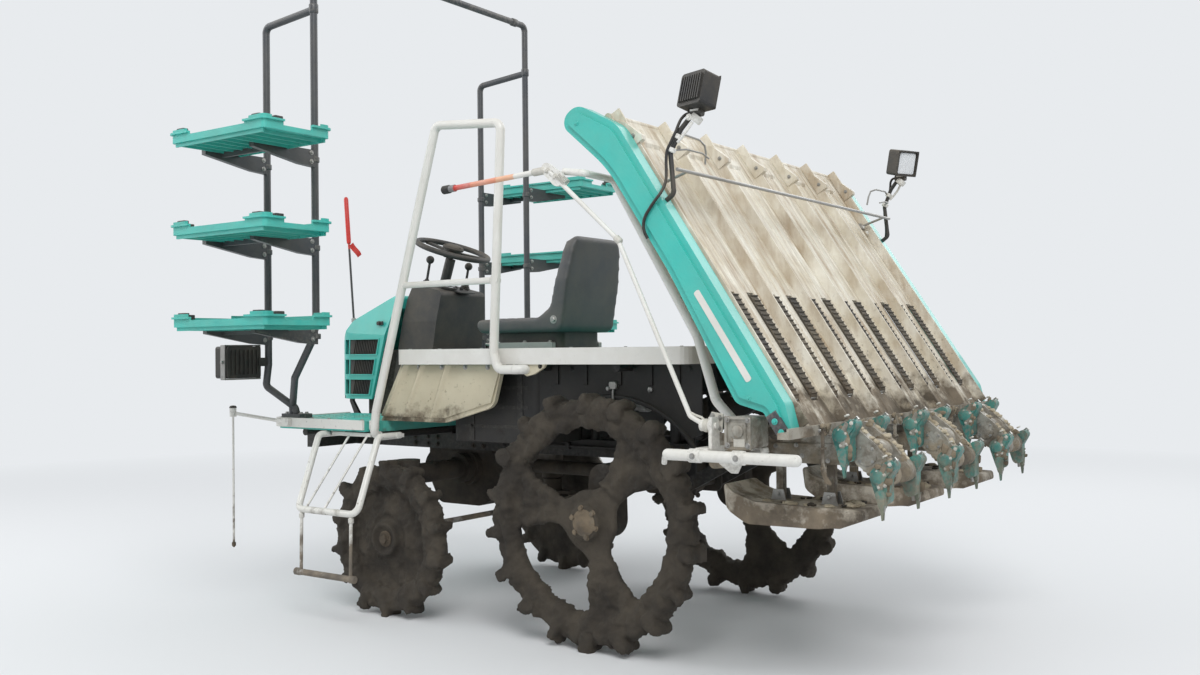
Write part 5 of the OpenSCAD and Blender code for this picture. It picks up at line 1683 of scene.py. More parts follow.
@dataclass(frozen=True)
class Racks:
    """Bolts, clamps, ribs and clips of the racks and their trays; millimetres."""

    post_y: float = 722.0
    front_x: float = 1690.0
    rear_x: float = 1370.0
    low_z: float = 1262.0
    pitch: float = 382.0
    tray_x: float = 1407.0
    tray_y: float = 1031.0

    def build(self) -> None:
        """Dress both racks."""
        clamps, ribs, clips, bolts = Shape(), Shape(), Shape(), Shape()
        for side in SIDES:
            out = LEFT * side
            for k in range(3):
                top = self.low_z + k * self.pitch - 42
                for x in (self.front_x, self.rear_x):
                    clamps.collar(
                        0.018, 0.0205, 0.009, 0.012, 18, facing(place(x, self.post_y * side, top - 40), UP))
                    for z in (top - 14, top - 52):
                        Bolt(0.011, 0.006, 0.0105).put(
                            bolts, place(x - 13, (self.post_y + 28) * side, z), -FORWARD)
                        Bolt(0.011, 0.006, 0.0105).put(
                            bolts, place(x + 13, (self.post_y + 28) * side, z), FORWARD)
                self._tray(ribs, clips, side, top)
            for x, y in ((1592, 590), (1688, 590), (1592, 622), (1688, 622)):
                Bolt(0.013, 0.007, 0.012).put(bolts, place(x, y * side, 835), UP)
            clamps.collar(
                0.018, 0.0205, 0.016, 0.02, 18, facing(place(self.rear_x, self.post_y * side, 2600), UP))
            clamps.collar(
                0.018, 0.0205, 0.016, 0.02, 18,
                facing(place(self.rear_x, (self.post_y - 90) * side, 2850), out))
        clamps.piece("rack_clamps", DARK_PAINT, "chassis", True)
        bolts.piece("rack_bolts", BARE_STEEL, "chassis")
        ribs.piece("tray_ribs", TEAL_TRAY, "chassis")
        clips.piece("tray_clips", DARK_MOULDING, "chassis")

    def _tray(self, ribs: Shape, clips: Shape, side: int, floor: float) -> None:
        """Add one tray's ribs, lip and clips.

        Args:
            ribs: Takes the ribs and the lip.
            clips: Takes the clips.
            side: 1 for the left rack, -1 for the right one.
            floor: Height of the tray's underside.
        """
        middle = self.tray_y * side
        for k in range(-4, 5):
            x = self.tray_x + k * 64
            if min(abs(x - self.front_x), abs(x - self.rear_x)) < 22:
                continue
            ribs.pad(
                box_outline((x - 3, -150), (x + 3, 150)), -0.014, 0.002, 0.001, level_at(0, middle, floor))
        for y in (-152, 152):
            ribs.pad(
                box_outline((self.tray_x - 282, y - 4), (self.tray_x + 282, y + 4)), -0.015, 0.002, 0.001,
                level_at(0, middle, floor))
        for end in (-1, 1):
            x = self.tray_x + end * 303
            clips.pad(
                soft_rectangle(0.022, 0.04, 0.004), -0.012, 0.006, 0.002,
                level_at(x - end * 14, middle + 90 * side, floor + 48))
            clips.pad(
                soft_rectangle(0.05, 0.026, 0.006), -0.008, 0.004, 0.002,
                level_at(x - end * 60, middle + 150 * side, floor + 55))


@dataclass(frozen=True)
class Headlights:
    """Lenses, brackets and ridges of the two headlights; millimetres."""

    spot: Row = (1690.0, 852.0, 1071.0)
    half_width: float = 92.0
    half_height: float = 76.0
    bracket_x: Pair = (1700.0, 1730.0)

    def build(self) -> None:
        """Dress both headlights."""
        near, far = self.bracket_x
        for name, side in (("left", 1), ("right", -1)):
            where = level_at(*mirrored(self.spot, side)) @ LOOK_AHEAD
            lens, body, bracket = Shape(), Shape(), Shape()
            lens.pad(soft_rectangle(0.152, 0.118, 0.012), 0.0735, 0.08, 0.003, where)
            for k in range(-6, 7):
                lens.prism(box_outline((k * 11 - 3.4, -50), (k * 11 + 3.4, 50)), 0.0795, 0.081, where)
            lens.piece(f"headlight_lens_{name}", LENS, "chassis")
            for k in range(-3, 4):
                body.pad(
                    box_outline((k * 22 - 3, -54), (k * 22 + 3, 54)), -0.001, 0.006, 0.001,
                    where @ Matrix.Rotation(math.pi, 4, "Y"))
            body.pad(
                soft_rectangle(0.12, 0.012, 0.004), 0.02, 0.086, 0.002,
                where @ Matrix.Translation(Vector((0, 0.0695, 0))))
            body.piece(f"headlight_ridges_{name}", DARK_MOULDING, "chassis")
            for z in (-74, 74):
                outline = box_outline(
                    (near, self.spot[1] - self.half_width), (far, self.spot[1] + self.half_width))
                bracket.pad(
                    [(x, y * side) for x, y in outline], -0.0025, 0.0025, 0.001,
                    level_at(0, 0, self.spot[2] + z))
            for way in (-1, 1):
                y = way * self.half_width
                outline = box_outline(
                    (near, self.spot[2] - self.half_height), (far, self.spot[2] + self.half_height))
                bracket.pad(outline, -0.0025, 0.0025, 0.001, side_plane(self.spot[1] + y, side))
                head = place((near + far) / 2, (self.spot[1] + y + 2.5 * way) * side, self.spot[2])
                Bolt(0.014, 0.007, 0.012).put(bracket, head, LEFT * side * way)
            bracket.piece(f"headlight_bracket_{name}", BARE_STEEL, "chassis")


@dataclass(frozen=True)
class Sighting:
    """Red sleeve and ribbon of the sighting rod, and caps of the side rods; millimetres."""

    foot: Row = (1926.0, 0.0, 1273.0)
    tip: Row = (1978.0, 0.0, 1908.0)

    def build(self) -> None:
        """Make the sleeve, the ribbon and the caps."""
        foot, tip = place(*self.foot), place(*self.tip)
        along = (tip - foot).normalized()
        sleeve = Shape()
        start = foot.lerp(tip, 0.62)
        reach = (tip - start).length
        sleeve.lathe(
            [
                (0.0062, 0.0), (0.0105, 0.004), (0.0115, 0.02), (0.0115, reach - 0.01),
                (0.008, reach - 0.001), (0.003, reach + 0.002)],
            20, facing(start, along))
        sleeve.piece("sighting_rod_sleeve", RED_PAINT, "bonnet", True)
        bolts = Shape()
        for y in (-24, 24):
            Bolt(0.011, 0.006, 0.011).put(bolts, place(1801.5, y, 925), FORWARD)
        bolts.collar(0.0085, 0.0125, 0.008, 0.012, 18, facing(foot, along))
        bolts.piece("sighting_rod_fixings", BARE_STEEL, "bonnet", True)
        caps = Shape()
        for side in SIDES:
            caps.lathe(
                [(0.0055, 0.0), (0.009, 0.002), (0.009, 0.016), (0.0055, 0.02)], 14,
                facing(place(1842, 800 * side, 244), UP))
            caps.lathe(
                [(0.016, 0.0), (0.0165, 0.003), (0.013, 0.009), (0.005, 0.011)], 18,
                facing(place(1842, 800 * side, 865), UP))
        caps.piece("side_rod_caps", RUBBER, "chassis", True)
        self._ribbon(start)

    def _ribbon(self, spot: Vector) -> None:
        """Args:
            spot: The point on the rod that it hangs from.
        """
        width, length, rows = 0.03, 0.075, 12
        points, faces = [], []
        for k in range(rows + 1):
            share = k / rows
            down = Vector((-0.2, -0.55, -0.81)).normalized()
            sway = Vector((0.004 * math.sin(share * 6), 0.0, 0.0))
            middle = spot + Vector((-0.008, -0.009, 0.0)) + down * length * share + sway
            across = Vector((0.25 * math.sin(share * 3), 0.82, -0.56)).normalized()
            points.extend((middle - across * width / 2, middle + across * width / 2))
            if k:
                a = 2 * k
                faces.append((a - 2, a - 1, a + 1, a))
        shape = Shape()
        shape.add(points, faces)
        ribbon = shape.piece("sighting_rod_ribbon", RED_PAINT, "bonnet", True)


@dataclass(frozen=True)
class PlantingArms:
    """Covers, bolts, rods and springs of the rotary cases and their arms; millimetres."""

    case_y: Row = (-600.0, 0.0, 600.0)
    shaft: Pair = (-1112.0, 778.0)
    reach: float = 85.0
    rest: float = 225.0
    near: float = 39.0
    case_width: float = 46.0
    hub_bolts: float = 27.0
    pin_bolts: float = 28.0
    hub_pads: float = 41.0

    def pin(self, turn: float) -> Pair:
        """Return the place along X and the height of an arm's pin."""
        angle = math.radians(turn)
        return self.shaft[0] + self.reach * math.cos(angle), self.shaft[1] + self.reach * math.sin(angle)

    def _round(self, angle: float, reach: float, y: float) -> Vector:
        """Return the point at an angle round the shaft, in radians, and at a reach and a y in millimetres."""
        return place(self.shaft[0] + reach * math.cos(angle), y, self.shaft[1] + reach * math.sin(angle))

    def build(self) -> None:
        """Make the fittings of all cases and arms."""
        self._cases()
        for body, turn in (("arms_a", self.rest), ("arms_b", self.rest + 180)):
            self._arms(body, turn)

    def _cases(self) -> None:
        """Put covers, bolts and mud on the rotary cases."""
        covers, bolts = Shape(), Shape()
        for case in self.case_y:
            for side in SIDES:
                out = LEFT * side
                face = case + side * (self.near + self.case_width)
                back = case + side * self.near
                where = facing(place(self.shaft[0], face, self.shaft[1]), out)
                covers.lathe(
                    [(0.034, -0.001), (0.034, 0.0028), (0.026, 0.0042), (0.012, 0.0048)], 28, where)
                for k in range(4):
                    angle = math.radians(45 + 90 * k)
                    spot = self._round(angle, self.hub_bolts, face + 3.2 * side)
                    Bolt(0.0075, 0.0016, 0.006, 0.0008).put(bolts, spot, out)
                for turn in (self.rest, self.rest + 180):
                    x, z = self.pin(turn)
                    covers.lathe(
                        [(0.027, -0.001), (0.027, 0.0025), (0.021, 0.004)], 24,
                        facing(place(x, face, z), out))
                    for spin in (-50, 0, 50):
                        angle = math.radians(turn + spin)
                        off, rise = self.pin_bolts * math.cos(angle), self.pin_bolts * math.sin(angle)
                        spot = place(x + off, face, z + rise)
                        Bolt(0.0075, 0.0028, 0.0065, 0.0008).put(bolts, spot, out)
                for turn in range(8):
                    angle = math.radians(turn * 45 + 22.5)
                    rim = self._round(angle, self.hub_pads, back + side * self.case_width / 2)
                    covers.pad(
                        soft_rectangle(0.011, 0.04, 0.003), -0.002, 0.003, 0.001,
                        facing(rim, Vector((math.cos(angle), 0, math.sin(angle)))))
        mud = Shape()
        for case in self.case_y:
            for side in SIDES:
                for k in range(14):
                    angle = math.radians(self.rest + random.choice((0, 180)) + random.uniform(-40, 40))
                    reach = random.uniform(30, 104)
                    spot = self._round(angle, reach, case + side * (self.near + random.choice((2, 44))))
                    mud.clod(spot, random_size((8, 19), (2, 4), (8, 19)), k * 1.3)
        clumps = Shape()
        along = Vector((math.cos(math.radians(self.rest)), 0, math.sin(math.radians(self.rest))))
        upward = Vector((-along.z, 0, along.x))
        for case in self.case_y:
            for side in SIDES:
                for k in range(26):
                    drift, flank = random.uniform(-84, 84), random.choice((-1, 1))
                    out = flank * (44 - abs(drift) * 0.12)
                    y = case + side * (self.near + random.uniform(15, 31))
                    spot = place(self.shaft[0], y, self.shaft[1]) + (along * drift + upward * out) * MM
                    clumps.clod(spot, random_size((9, 19), (6, 13), (6, 12)), k * 0.7)
        clumps.piece("rotary_clumps", PALE_CLUMPS, "rotors", True, 80)
        mud.piece("rotary_mud", PALE_MUD, "rotors", True, 80)
        covers.piece("rotary_covers", ROTARY_CASE, "rotors", True)
        bolts.piece("rotary_bolts", BARE_STEEL, "rotors")

    def _arms(self, body: str, turn: float) -> None:
        """Put covers, push rods, springs and fork guides on one set of arms.

        Args:
            body: The set of arms.
            turn: The angle of its pins round the shaft, in degrees.
        """
        covers, rods, springs, white, plates, mud = Shape(), Shape(), Shape(), Shape(), Shape(), Shape()
        x, z = self.pin(turn)
        inner = self.near + self.case_width + 6
        for case in self.case_y:
            for side in SIDES:
                out = LEFT * side
                face = case + side * (inner + 46)

                def at(dx: float, dy: float, dz: float) -> Vector:
                    """Return a point beside this arm's outer face."""
                    return place(x + dx, face + side * dy, z + dz)

                plane = Matrix.Translation(at(0, 0, 0)) @ side_turn(side)
                outline = [
                    (-10, 25), (-30, 52), (-46, 44), (-44, 26), (-24, 0), (-26, -40), (-22, -68), (-2, -68),
                    (4, -40), (14, -4), (12, 14)]
                covers.pad(in_metres(outline), -0.001, 0.006, 0.003, plane)
                covers.lathe(
                    [(0.022, 0.0), (0.022, 0.008), (0.016, 0.011), (0.006, 0.012)], 22,
                    facing(at(0, 0, 0), out))
                for px, pz in ((-36, 40), (-18, 8), (-20, -24), (-2, -30), (-16, -60), (4, 16)):
                    Bolt(0.008, 0.0035, 0.0065, 0.001).put(white, at(px, 5.5, pz), out)
                rods.tube([at(-2, -10, -56), at(-6, -10, -76), at(-9, -10, -100)], 0.0055, 10)
                springs.coil(at(-7, -30, -60), at(-9, -30, -84), 0.009, 0.0016, 5)
                rods.tube([at(-30, -22, 46), at(-44, -22, 58), at(-52, -20, 50)], 0.004, 8)
                white.pad(
                    soft_rectangle(0.02, 0.012, 0.003), -0.001, 0.004, 0.001,
                    facing(at(-12, -20, 60), Vector((0.5, 0, 0.86))))
                plates.pad(
                    in_metres((
                        (-30, 40), (-40, 34), (-30, 6), (-28, -34), (-18, -62), (-8, -62), (-14, -30),
                        (-12, 8))),
                    -0.0005, 0.0035, 0.001, plane @ Matrix.Translation(Vector((0.012, 0.004, 0.0055))))
                for _ in range(9):
                    spot = at(random.uniform(-34, 4), random.choice((-1, 5)), random.uniform(-70, 40))
                    mud.clod(spot, random_size((8, 18), (2, 4), (9, 24)), spot.x * 9)
                row = case + side * 150
                fork = level_at(x, row, z) @ side_turn(side)
                guide = [(-22, -74), (-6, -74), (-4, -92), (-12, -104), (-21, -104), (-24, -92)]
                rods.pad(in_metres(guide), -0.0055, 0.0035, 0.001, fork)
        covers.piece(f"{body}_covers", ARM_TEAL, body, True)
        rods.piece(f"{body}_rods", BARE_STEEL, body, True)
        springs.piece(f"{body}_springs", BARE_STEEL, body, True)
        white.piece(f"{body}_bolts", PALE_FITTING, body)
        plates.piece(f"{body}_plates", ROTARY_CASE, body, True)
        mud.piece(f"{body}_mud", PALE_MUD, body, True, 80)


@dataclass(frozen=True)
class PlantingUnit:
    """Plates, clamps, brackets and float fittings of the planting unit; millimetres."""

    end_y: float = 970.0
    guard_y: float = 1000.0
    guard_z: float = 782.0
    tube_x: float = -715.0
    hangers: Pair = (-780.0, -960.0)
    case_y: Row = (-600.0, 0.0, 600.0)

    def build(self) -> None:
        """Make the unit's fittings."""
        self._ends()
        self._guards()
        self._cases()
        self._floats()
        self._rail()
        self._uprights()

    def _ends(self) -> None:
        """Frame the end cases and put their pale plates on."""
        plates, pale, bolts = Shape(), Shape(), Shape()
        for side in SIDES:
            out = LEFT * side
            where = side_plane(self.end_y, side)
            uprights = ((-868, 804), (-860, 904)), ((-786, 804), (-778, 904))
            for low, high in (*uprights, ((-862, 896), (-784, 904)), ((-862, 804), (-784, 812))):
                plates.pad(box_outline(low, high), -0.002, 0.007, 0.001, where)
            plates.pad(box_outline((-850, 826), (-796, 884)), -0.001, 0.003, 0.001, where)
            plates.lathe(
                [(0.019, 0.0), (0.019, 0.006), (0.014, 0.009), (0.005, 0.01)], 20,
                facing(place(-823, (self.end_y + 2) * side, 858), out))
            pale.pad(box_outline((-846, 812), (-808, 836)), 0.002, 0.005, 0.001, where)
            for x, z in ((-858, 894), (-788, 894), (-858, 816), (-788, 816)):
                Bolt(0.009, 0.005, 0.009).put(bolts, place(x, (self.end_y + 6.5) * side, z), out)
            pale.pad(
                in_metres(((-752, 908), (-712, 914), (-700, 894), (-704, 866), (-720, 852), (-748, 852))),
                -0.003, 0.003, 0.001, side_plane(935, side))
            for x, z in ((-742, 896), (-716, 902), (-738, 864)):
                Bolt(0.01, 0.005, 0.009).put(bolts, place(x, 938 * side, z), out)
        plates.piece("end_case_plates", ROTARY_CASE, "planting_unit", True)
        pale.piece("end_case_pale_plates", PALE_FITTING, "planting_unit")
        bolts.piece("end_case_bolts", BARE_STEEL, "planting_unit")

    def _guards(self) -> None:
        """Clamp the guard bars and hang their lower brackets."""
        clamps, bolts = Shape(), Shape()
        for side in SIDES:
            out = LEFT * side
            for x in (-690, -840):
                clamps.collar(
                    0.0185, 0.022, 0.019, 0.022, 20,
                    facing(place(x, self.guard_y * side, self.guard_z), FORWARD))
                Bolt(0.011, 0.005, 0.01).put(
                    bolts, place(x, (self.guard_y + 21.5) * side, self.guard_z), out)
                clamps.pad(
                    soft_rectangle(0.05, 0.044, 0.005), -0.02, 0.003, 0.002,
                    facing(place(x, 876 * side, self.guard_z), out))
            outline = [(-792, 764), (-700, 764), (-706, 748), (-748, 720), (-770, 720)]
            clamps.pad(in_metres(outline), -0.004, 0.004, 0.001, side_plane(880, side))
            clamps.tube(
                mirrored_spots(
                    side, (-600, 1000, 782), (-588, 1000, 780), (-574, 994, 770), (-566, 984, 752)),
                0.009, 10)
        clamps.piece("guard_bar_clamps", WHITE_TUBE, "planting_unit", True)
        bolts.piece("guard_bar_bolts", BARE_STEEL, "planting_unit")

    def _cases(self) -> None:
        """Dress the planting cases and run the drive shaft's sleeves along the tube."""
        covers, bolts, sleeves = Shape(), Shape(), Shape()
        for case in self.case_y:
            for side in SIDES:
                out = LEFT * side
                face = case + 28 * side
                outline = [(-760, 800), (-764, 776), (-1040, 744), (-1066, 756), (-1072, 786), (-1050, 806)]
                covers.pad(
                    in_metres((px, pz - 2) for px, pz in outline), -0.002, 0.004, 0.002,
                    side_plane(face * side, side))
                upper = ((-776, 790), (-850, 796), (-940, 798), (-1030, 798))
                for x, z in (*upper, (-1056, 766), (-960, 750), (-870, 762)):
                    Bolt(0.009, 0.004, 0.008).put(bolts, place(x, face + 3.6 * side, z - 2), out)
                covers.lathe(
                    [(0.036, 0.0), (0.036, 0.004), (0.028, 0.006)], 26,
                    facing(place(-1112, case + 33 * side, 778), out))
            sleeves.collar(0.03, 0.036, 0.044, 0.05, 22, facing(place(-790, case, 842), LEFT))
        for low, high in ((-848, -652), (-548, -52), (52, 548), (652, 848)):
            sleeves.tube(
                [place(-790, low, 842), place(-790, (low + high) / 2, 842), place(-790, high, 842)], 0.017,
                14)
        covers.piece("planting_case_covers", ROTARY_CASE, "planting_unit", True)
        bolts.piece("planting_case_bolts", BARE_STEEL, "planting_unit")
        sleeves.piece("drive_shaft_sleeves", CAST_CASE, "planting_unit", True)

    def _floats(self) -> None:
        """Give the floats hinge brackets, nose ribs and mud."""
        stripes, brackets, mud, pale = Shape(), Shape(), Shape(), Shape()
        for case in self.case_y:
            for y in (-66, -22, 22, 66):
                rings = []
                for x, z in ((-652, 628), (-680, 622), (-720, 614), (-748, 611)):
                    rings.append(
                        spots(
                            (x, case + y - 7, z - 8), (x, case + y - 5, z + 4), (x, case + y + 5, z + 4),
                            (x, case + y + 7, z - 8)))
                stripes.loft(rings)
            for x in self.hangers:
                for side in SIDES:
                    brackets.pad(
                        in_metres(((x - 30, 600), (x + 30, 600), (x + 18, 646), (x - 18, 646))), -0.002,
                        0.002, 0.0005, side_plane(case * side + 22, side))
                    Bolt(0.012, 0.006, 0.011).put(brackets, place(x, case + 24 * side, 632), LEFT * side)
            for k in range(16):
                x = random.uniform(-1060, -680)
                y = case + random.uniform(-92, 92)
                if min(abs(x - h) for h in self.hangers) < 50 and abs(y - case) < 40:
                    continue
                mud.clod(place(x, y, 611), random_size((8, 20), (8, 20), (4, 8)), k * 2.3)
            for k in range(26):
                angle = random.uniform(0, 2 * math.pi)
                x, y = -860 + 190 * math.cos(angle), case + 84 * math.sin(angle)
                if min(abs(x - h) for h in self.hangers) < 40 and abs(y - case) < 40:
                    continue
                pale.clod(place(x, y, 608), random_size((12, 32), (9, 22), (7, 15)), k * 1.7)
        pale.piece("float_pale_mud", PALE_CLUMPS, "planting_unit", True, 80)
        stripes.piece("float_nose_ribs", MUDDY_FLOAT, "planting_unit", True)
        brackets.piece("float_brackets", BARE_STEEL, "planting_unit")
        mud.piece("float_mud", MUDDY_WHEEL, "planting_unit", True, 80)

    def _rail(self) -> None:
        """Guide the seedlings at each gate of the lower rail, and put mud on the gates."""
        guides, bolts, mud = Shape(), Shape(), Shape()
        for k in range(-5, 6, 2):
            y = 150 * k
            for side in SIDES:
                outline = [
                    (-1003, 874), (-1003, 846), (-1014, 838), (-1022, 842), (-1014, 858), (-1010, 874)]
                guides.pad(in_metres(outline), 0.0, 0.002, 0.0005, side_plane(y * side + 18, side))
                Bolt(0.008, 0.004, 0.007).put(bolts, place(-1003, y + 38 * side, 856), -FORWARD)
            outline = [
                (-1003, 868), (-1003, 724), (-1016, 694), (-1034, 688), (-1038, 694), (-1022, 716),
                (-1014, 756), (-1014, 868)]
            outer = 26 * (1 if (k + 5) % 4 else -1)
            guides.pad(in_metres(outline), -0.0015, 0.0015, 0.0005, side_plane(y + outer))
            for z in (740, 800):
                guides.pad(
                    soft_rectangle(0.012, 0.03, 0.003), -0.003, 0.003, 0.001, level_at(-1010, y + outer, z))
            for n in range(9):
                spot = place(
                    -1006 - random.uniform(0, 6), y + random.uniform(-44, 44), random.uniform(842, 872))
                mud.clod(spot, random_size((4, 8), (8, 20), (6, 14)), k * 1.3 + n)
        mud.piece("gate_mud", PALE_MUD, "planting_unit", True, 80)
        guides.piece("gate_guides", RAIL_STEEL, "planting_unit")
        bolts.piece("gate_bolts", BARE_STEEL, "planting_unit")

    def _uprights(self) -> None:
        """Bolt the uprights to the tube."""
        clamps, bolts = Shape(), Shape()
        for side in SIDES:
            for foot in (620, 735):
                clamps.pad(
                    soft_rectangle(0.06, 0.05, 0.006), -0.002, 0.006, 0.002,
                    level_at(self.tube_x + 4, foot * side, 821))
                for x in (-22, 22):
                    Bolt(0.011, 0.006, 0.01).put(bolts, place(self.tube_x + 4 + x, foot * side, 826.5), UP)
        clamps.piece("upright_feet", WHITE_TUBE, "planting_unit")
        bolts.piece("upright_bolts", BARE_STEEL, "planting_unit")


@dataclass(frozen=True)
class MarkerTrim:
    """Collars, springs, bolts and tips of the two row markers; millimetres."""

    y: float = 962.0

    def build(self) -> None:
        """Dress both markers."""
        for name, side in (("left", 1), ("right", -1)):
            shape = Shape()
            y = self.y * side
            along = place(-384, y, 1467) - place(-99, y, 1722)
            shape.collar(0.0085, 0.012, 0.01, 0.014, 16, facing(place(-384, y, 1467), along))
            for x, z in ((-132, 1697), (-100, 1721)):
                Bolt(0.012, 0.006, 0.011).put(shape, place(x, y + 5.6 * side, z), LEFT * side)
            shape.coil(place(-176, y, 1672), place(-140, y, 1700), 0.0125, 0.002, 7)
            shape.lathe(
                [(0.0095, 0.0), (0.0135, 0.003), (0.0135, 0.05), (0.01, 0.056)], 16,
                facing(place(-86, y, 1723.5), place(388, y, 1698) - place(-96, y, 1724)))
            shape.lathe(
                [(0.018, -0.003), (0.021, 0.0), (0.021, 0.012), (0.018, 0.015)], 20,
                facing(place(-716, y, 873), FORWARD))
            shape.tube(spots((-706, y, 884), (-690, y, 898), (-668, y, 904), (-650, y, 912)), 0.004, 8)
            shape.piece(f"marker_fittings_{name}", PALE_FITTING, f"marker_{name}", True)
            tip = Shape()
            tip.lathe(
                [(0.0125, -0.002), (0.0155, 0.001), (0.0155, 0.03), (0.012, 0.034), (0.004, 0.035)], 18,
                facing(place(356, y, 1699.7), place(388, y, 1698) - place(330, y, 1701)))
            tip.piece(f"marker_tip_{name}", RUBBER, f"marker_{name}", True)


@dataclass(frozen=True)
class Footing:
    """Studs and bolts of the floor, the deck and the body cover; millimetres."""

    floor_z: float = 815.0
    deck_z: float = 1115.0
    floor_rows: int = 9
    deck_rows: int = 5

    def build(self) -> None:
        """Dress the floor, the deck and the cover."""
        studs, bolts = Shape(), Shape()
        profile = [(0.0085, -0.0005), (0.0075, 0.0022), (0.0035, 0.0026)]
        for side in SIDES:
            for row in range(self.floor_rows):
                for k in range(7):
                    x = 1196 + row * 56 + (k % 2) * 28
                    y = (236 + k * 52) * side
                    if x > 1690 or (1568 < x < 1712 and abs(y) > 540):
                        continue
                    studs.lathe(profile, 10, level_at(x, y, self.floor_z))
            for row in range(self.deck_rows):
                for k in range(6):
                    x = 890 - row * 48 - (k % 2) * 24
                    y = (232 + k * 58) * side
                    studs.lathe(profile, 10, level_at(x, y, self.deck_z))
            for x in (-380, -140, 110, 330, 560, 790, 960):
                Bolt(0.012, 0.005, 0.011).put(bolts, place(x, 566 * side, self.deck_z), UP)
            for x in (1190, 1400, 1510, 1716):
                Bolt(0.012, 0.005, 0.011).put(bolts, place(x, 628 * side, self.floor_z), UP)
            for x in (520, 640, 770, 900, 990):
                Bolt(0.012, 0.006, 0.012).put(bolts, place(x, 575.6 * side, 1046), LEFT * side)
        studs.piece("floor_studs", TEAL_FLOOR, "chassis", True)
        bolts.piece("panel_bolts", BARE_STEEL, "chassis")


@dataclass(frozen=True)
class CoverFolds:
    """Folded outer skins of the cream body cover, one on each side; millimetres."""

    inner_y: float = 565.0
    face_y: float = 575.6
    rise: float = 15.0
    folds: tuple[float, ...] = (0.055, 0.235, 0.49)
    half_fold: float = 0.036
    steps: int = 120

    def _profile(self, share: float) -> float:
        """Return how far the skin stands out at a share of its length from the front edge."""
        near = (share - at for at in self.folds if abs(share - at) < self.half_fold)
        return sum(self.rise * 0.5 * (1 + math.cos(math.pi * gap / self.half_fold)) for gap in near)

    def build(self) -> None:
        """Loft both skins from the slanted front edge back to the rear edge."""
        skin = Shape()
        for side in SIDES:
            rings = []
            for k in range(self.steps + 1):
                share = k / self.steps
                top_x, low_x = 1006 - 552 * share, 1128 - 622 * share
                low_z = 835 + max(0.0, 760 - low_x) * 70 / 260
                out = self.face_y + self._profile(share)
                upper = ((top_x, self.inner_y, 1054), (top_x, out - 2, 1055), (top_x, out, 1052))
                lower = ((low_x, out, low_z + 3), (low_x, out - 2, low_z), (low_x, self.inner_y, low_z))
                rings.append(mirrored_spots(side, *upper, *lower))
            skin.loft(rings)
        skin.piece("body_cover_skins", CREAM_COVER, "chassis", True, 40)


@dataclass(frozen=True)
class TubeFittings:
    """Caps and clamps of the handrail and the boarding steps; millimetres."""

    rail_y: float = 640.0
    step_y: float = 866.0

    def build(self) -> None:
        """Make the fittings of the white tubes."""
        clamps, bolts = Shape(), Shape()
        clamps.collar(0.0185, 0.0215, 0.016, 0.02, 20, facing(place(1109, 634, 800), UP))
        clamps.collar(0.0185, 0.021, 0.011, 0.014, 20, facing(place(421, self.rail_y, 1385), LEFT))
        clamps.pad(
            soft_rectangle(0.05, 0.044, 0.006), -0.01, 0.003, 0.002, facing(place(300, 570, 1042), LEFT))
        for x in (282, 318):
            Bolt(0.011, 0.006, 0.01).put(bolts, place(x, 572.5, 1042), LEFT)
        for side in SIDES:
            for end, way in ((980, -1), (1340, 1)):
                clamps.lathe(
                    [(0.0135, -0.03), (0.0155, -0.027), (0.0155, -0.002), (0.012, 0.001)], 16,
                    facing(place(end, self.step_y * side, 196), FORWARD * way))
            for x in (1000, 1300):
                clamps.collar(
                    0.0075, 0.0115, 0.008, 0.012, 14, facing(place(x, self.step_y * side, 432), UP))
            for x in (1384, 1404):
                Bolt(0.012, 0.006, 0.011).put(bolts, place(x, 634 * side, 757), LEFT * side)
        clamps.piece("tube_clamps", WHITE_TUBE, "chassis", True)
        bolts.piece("tube_bolts", BARE_STEEL, "chassis")


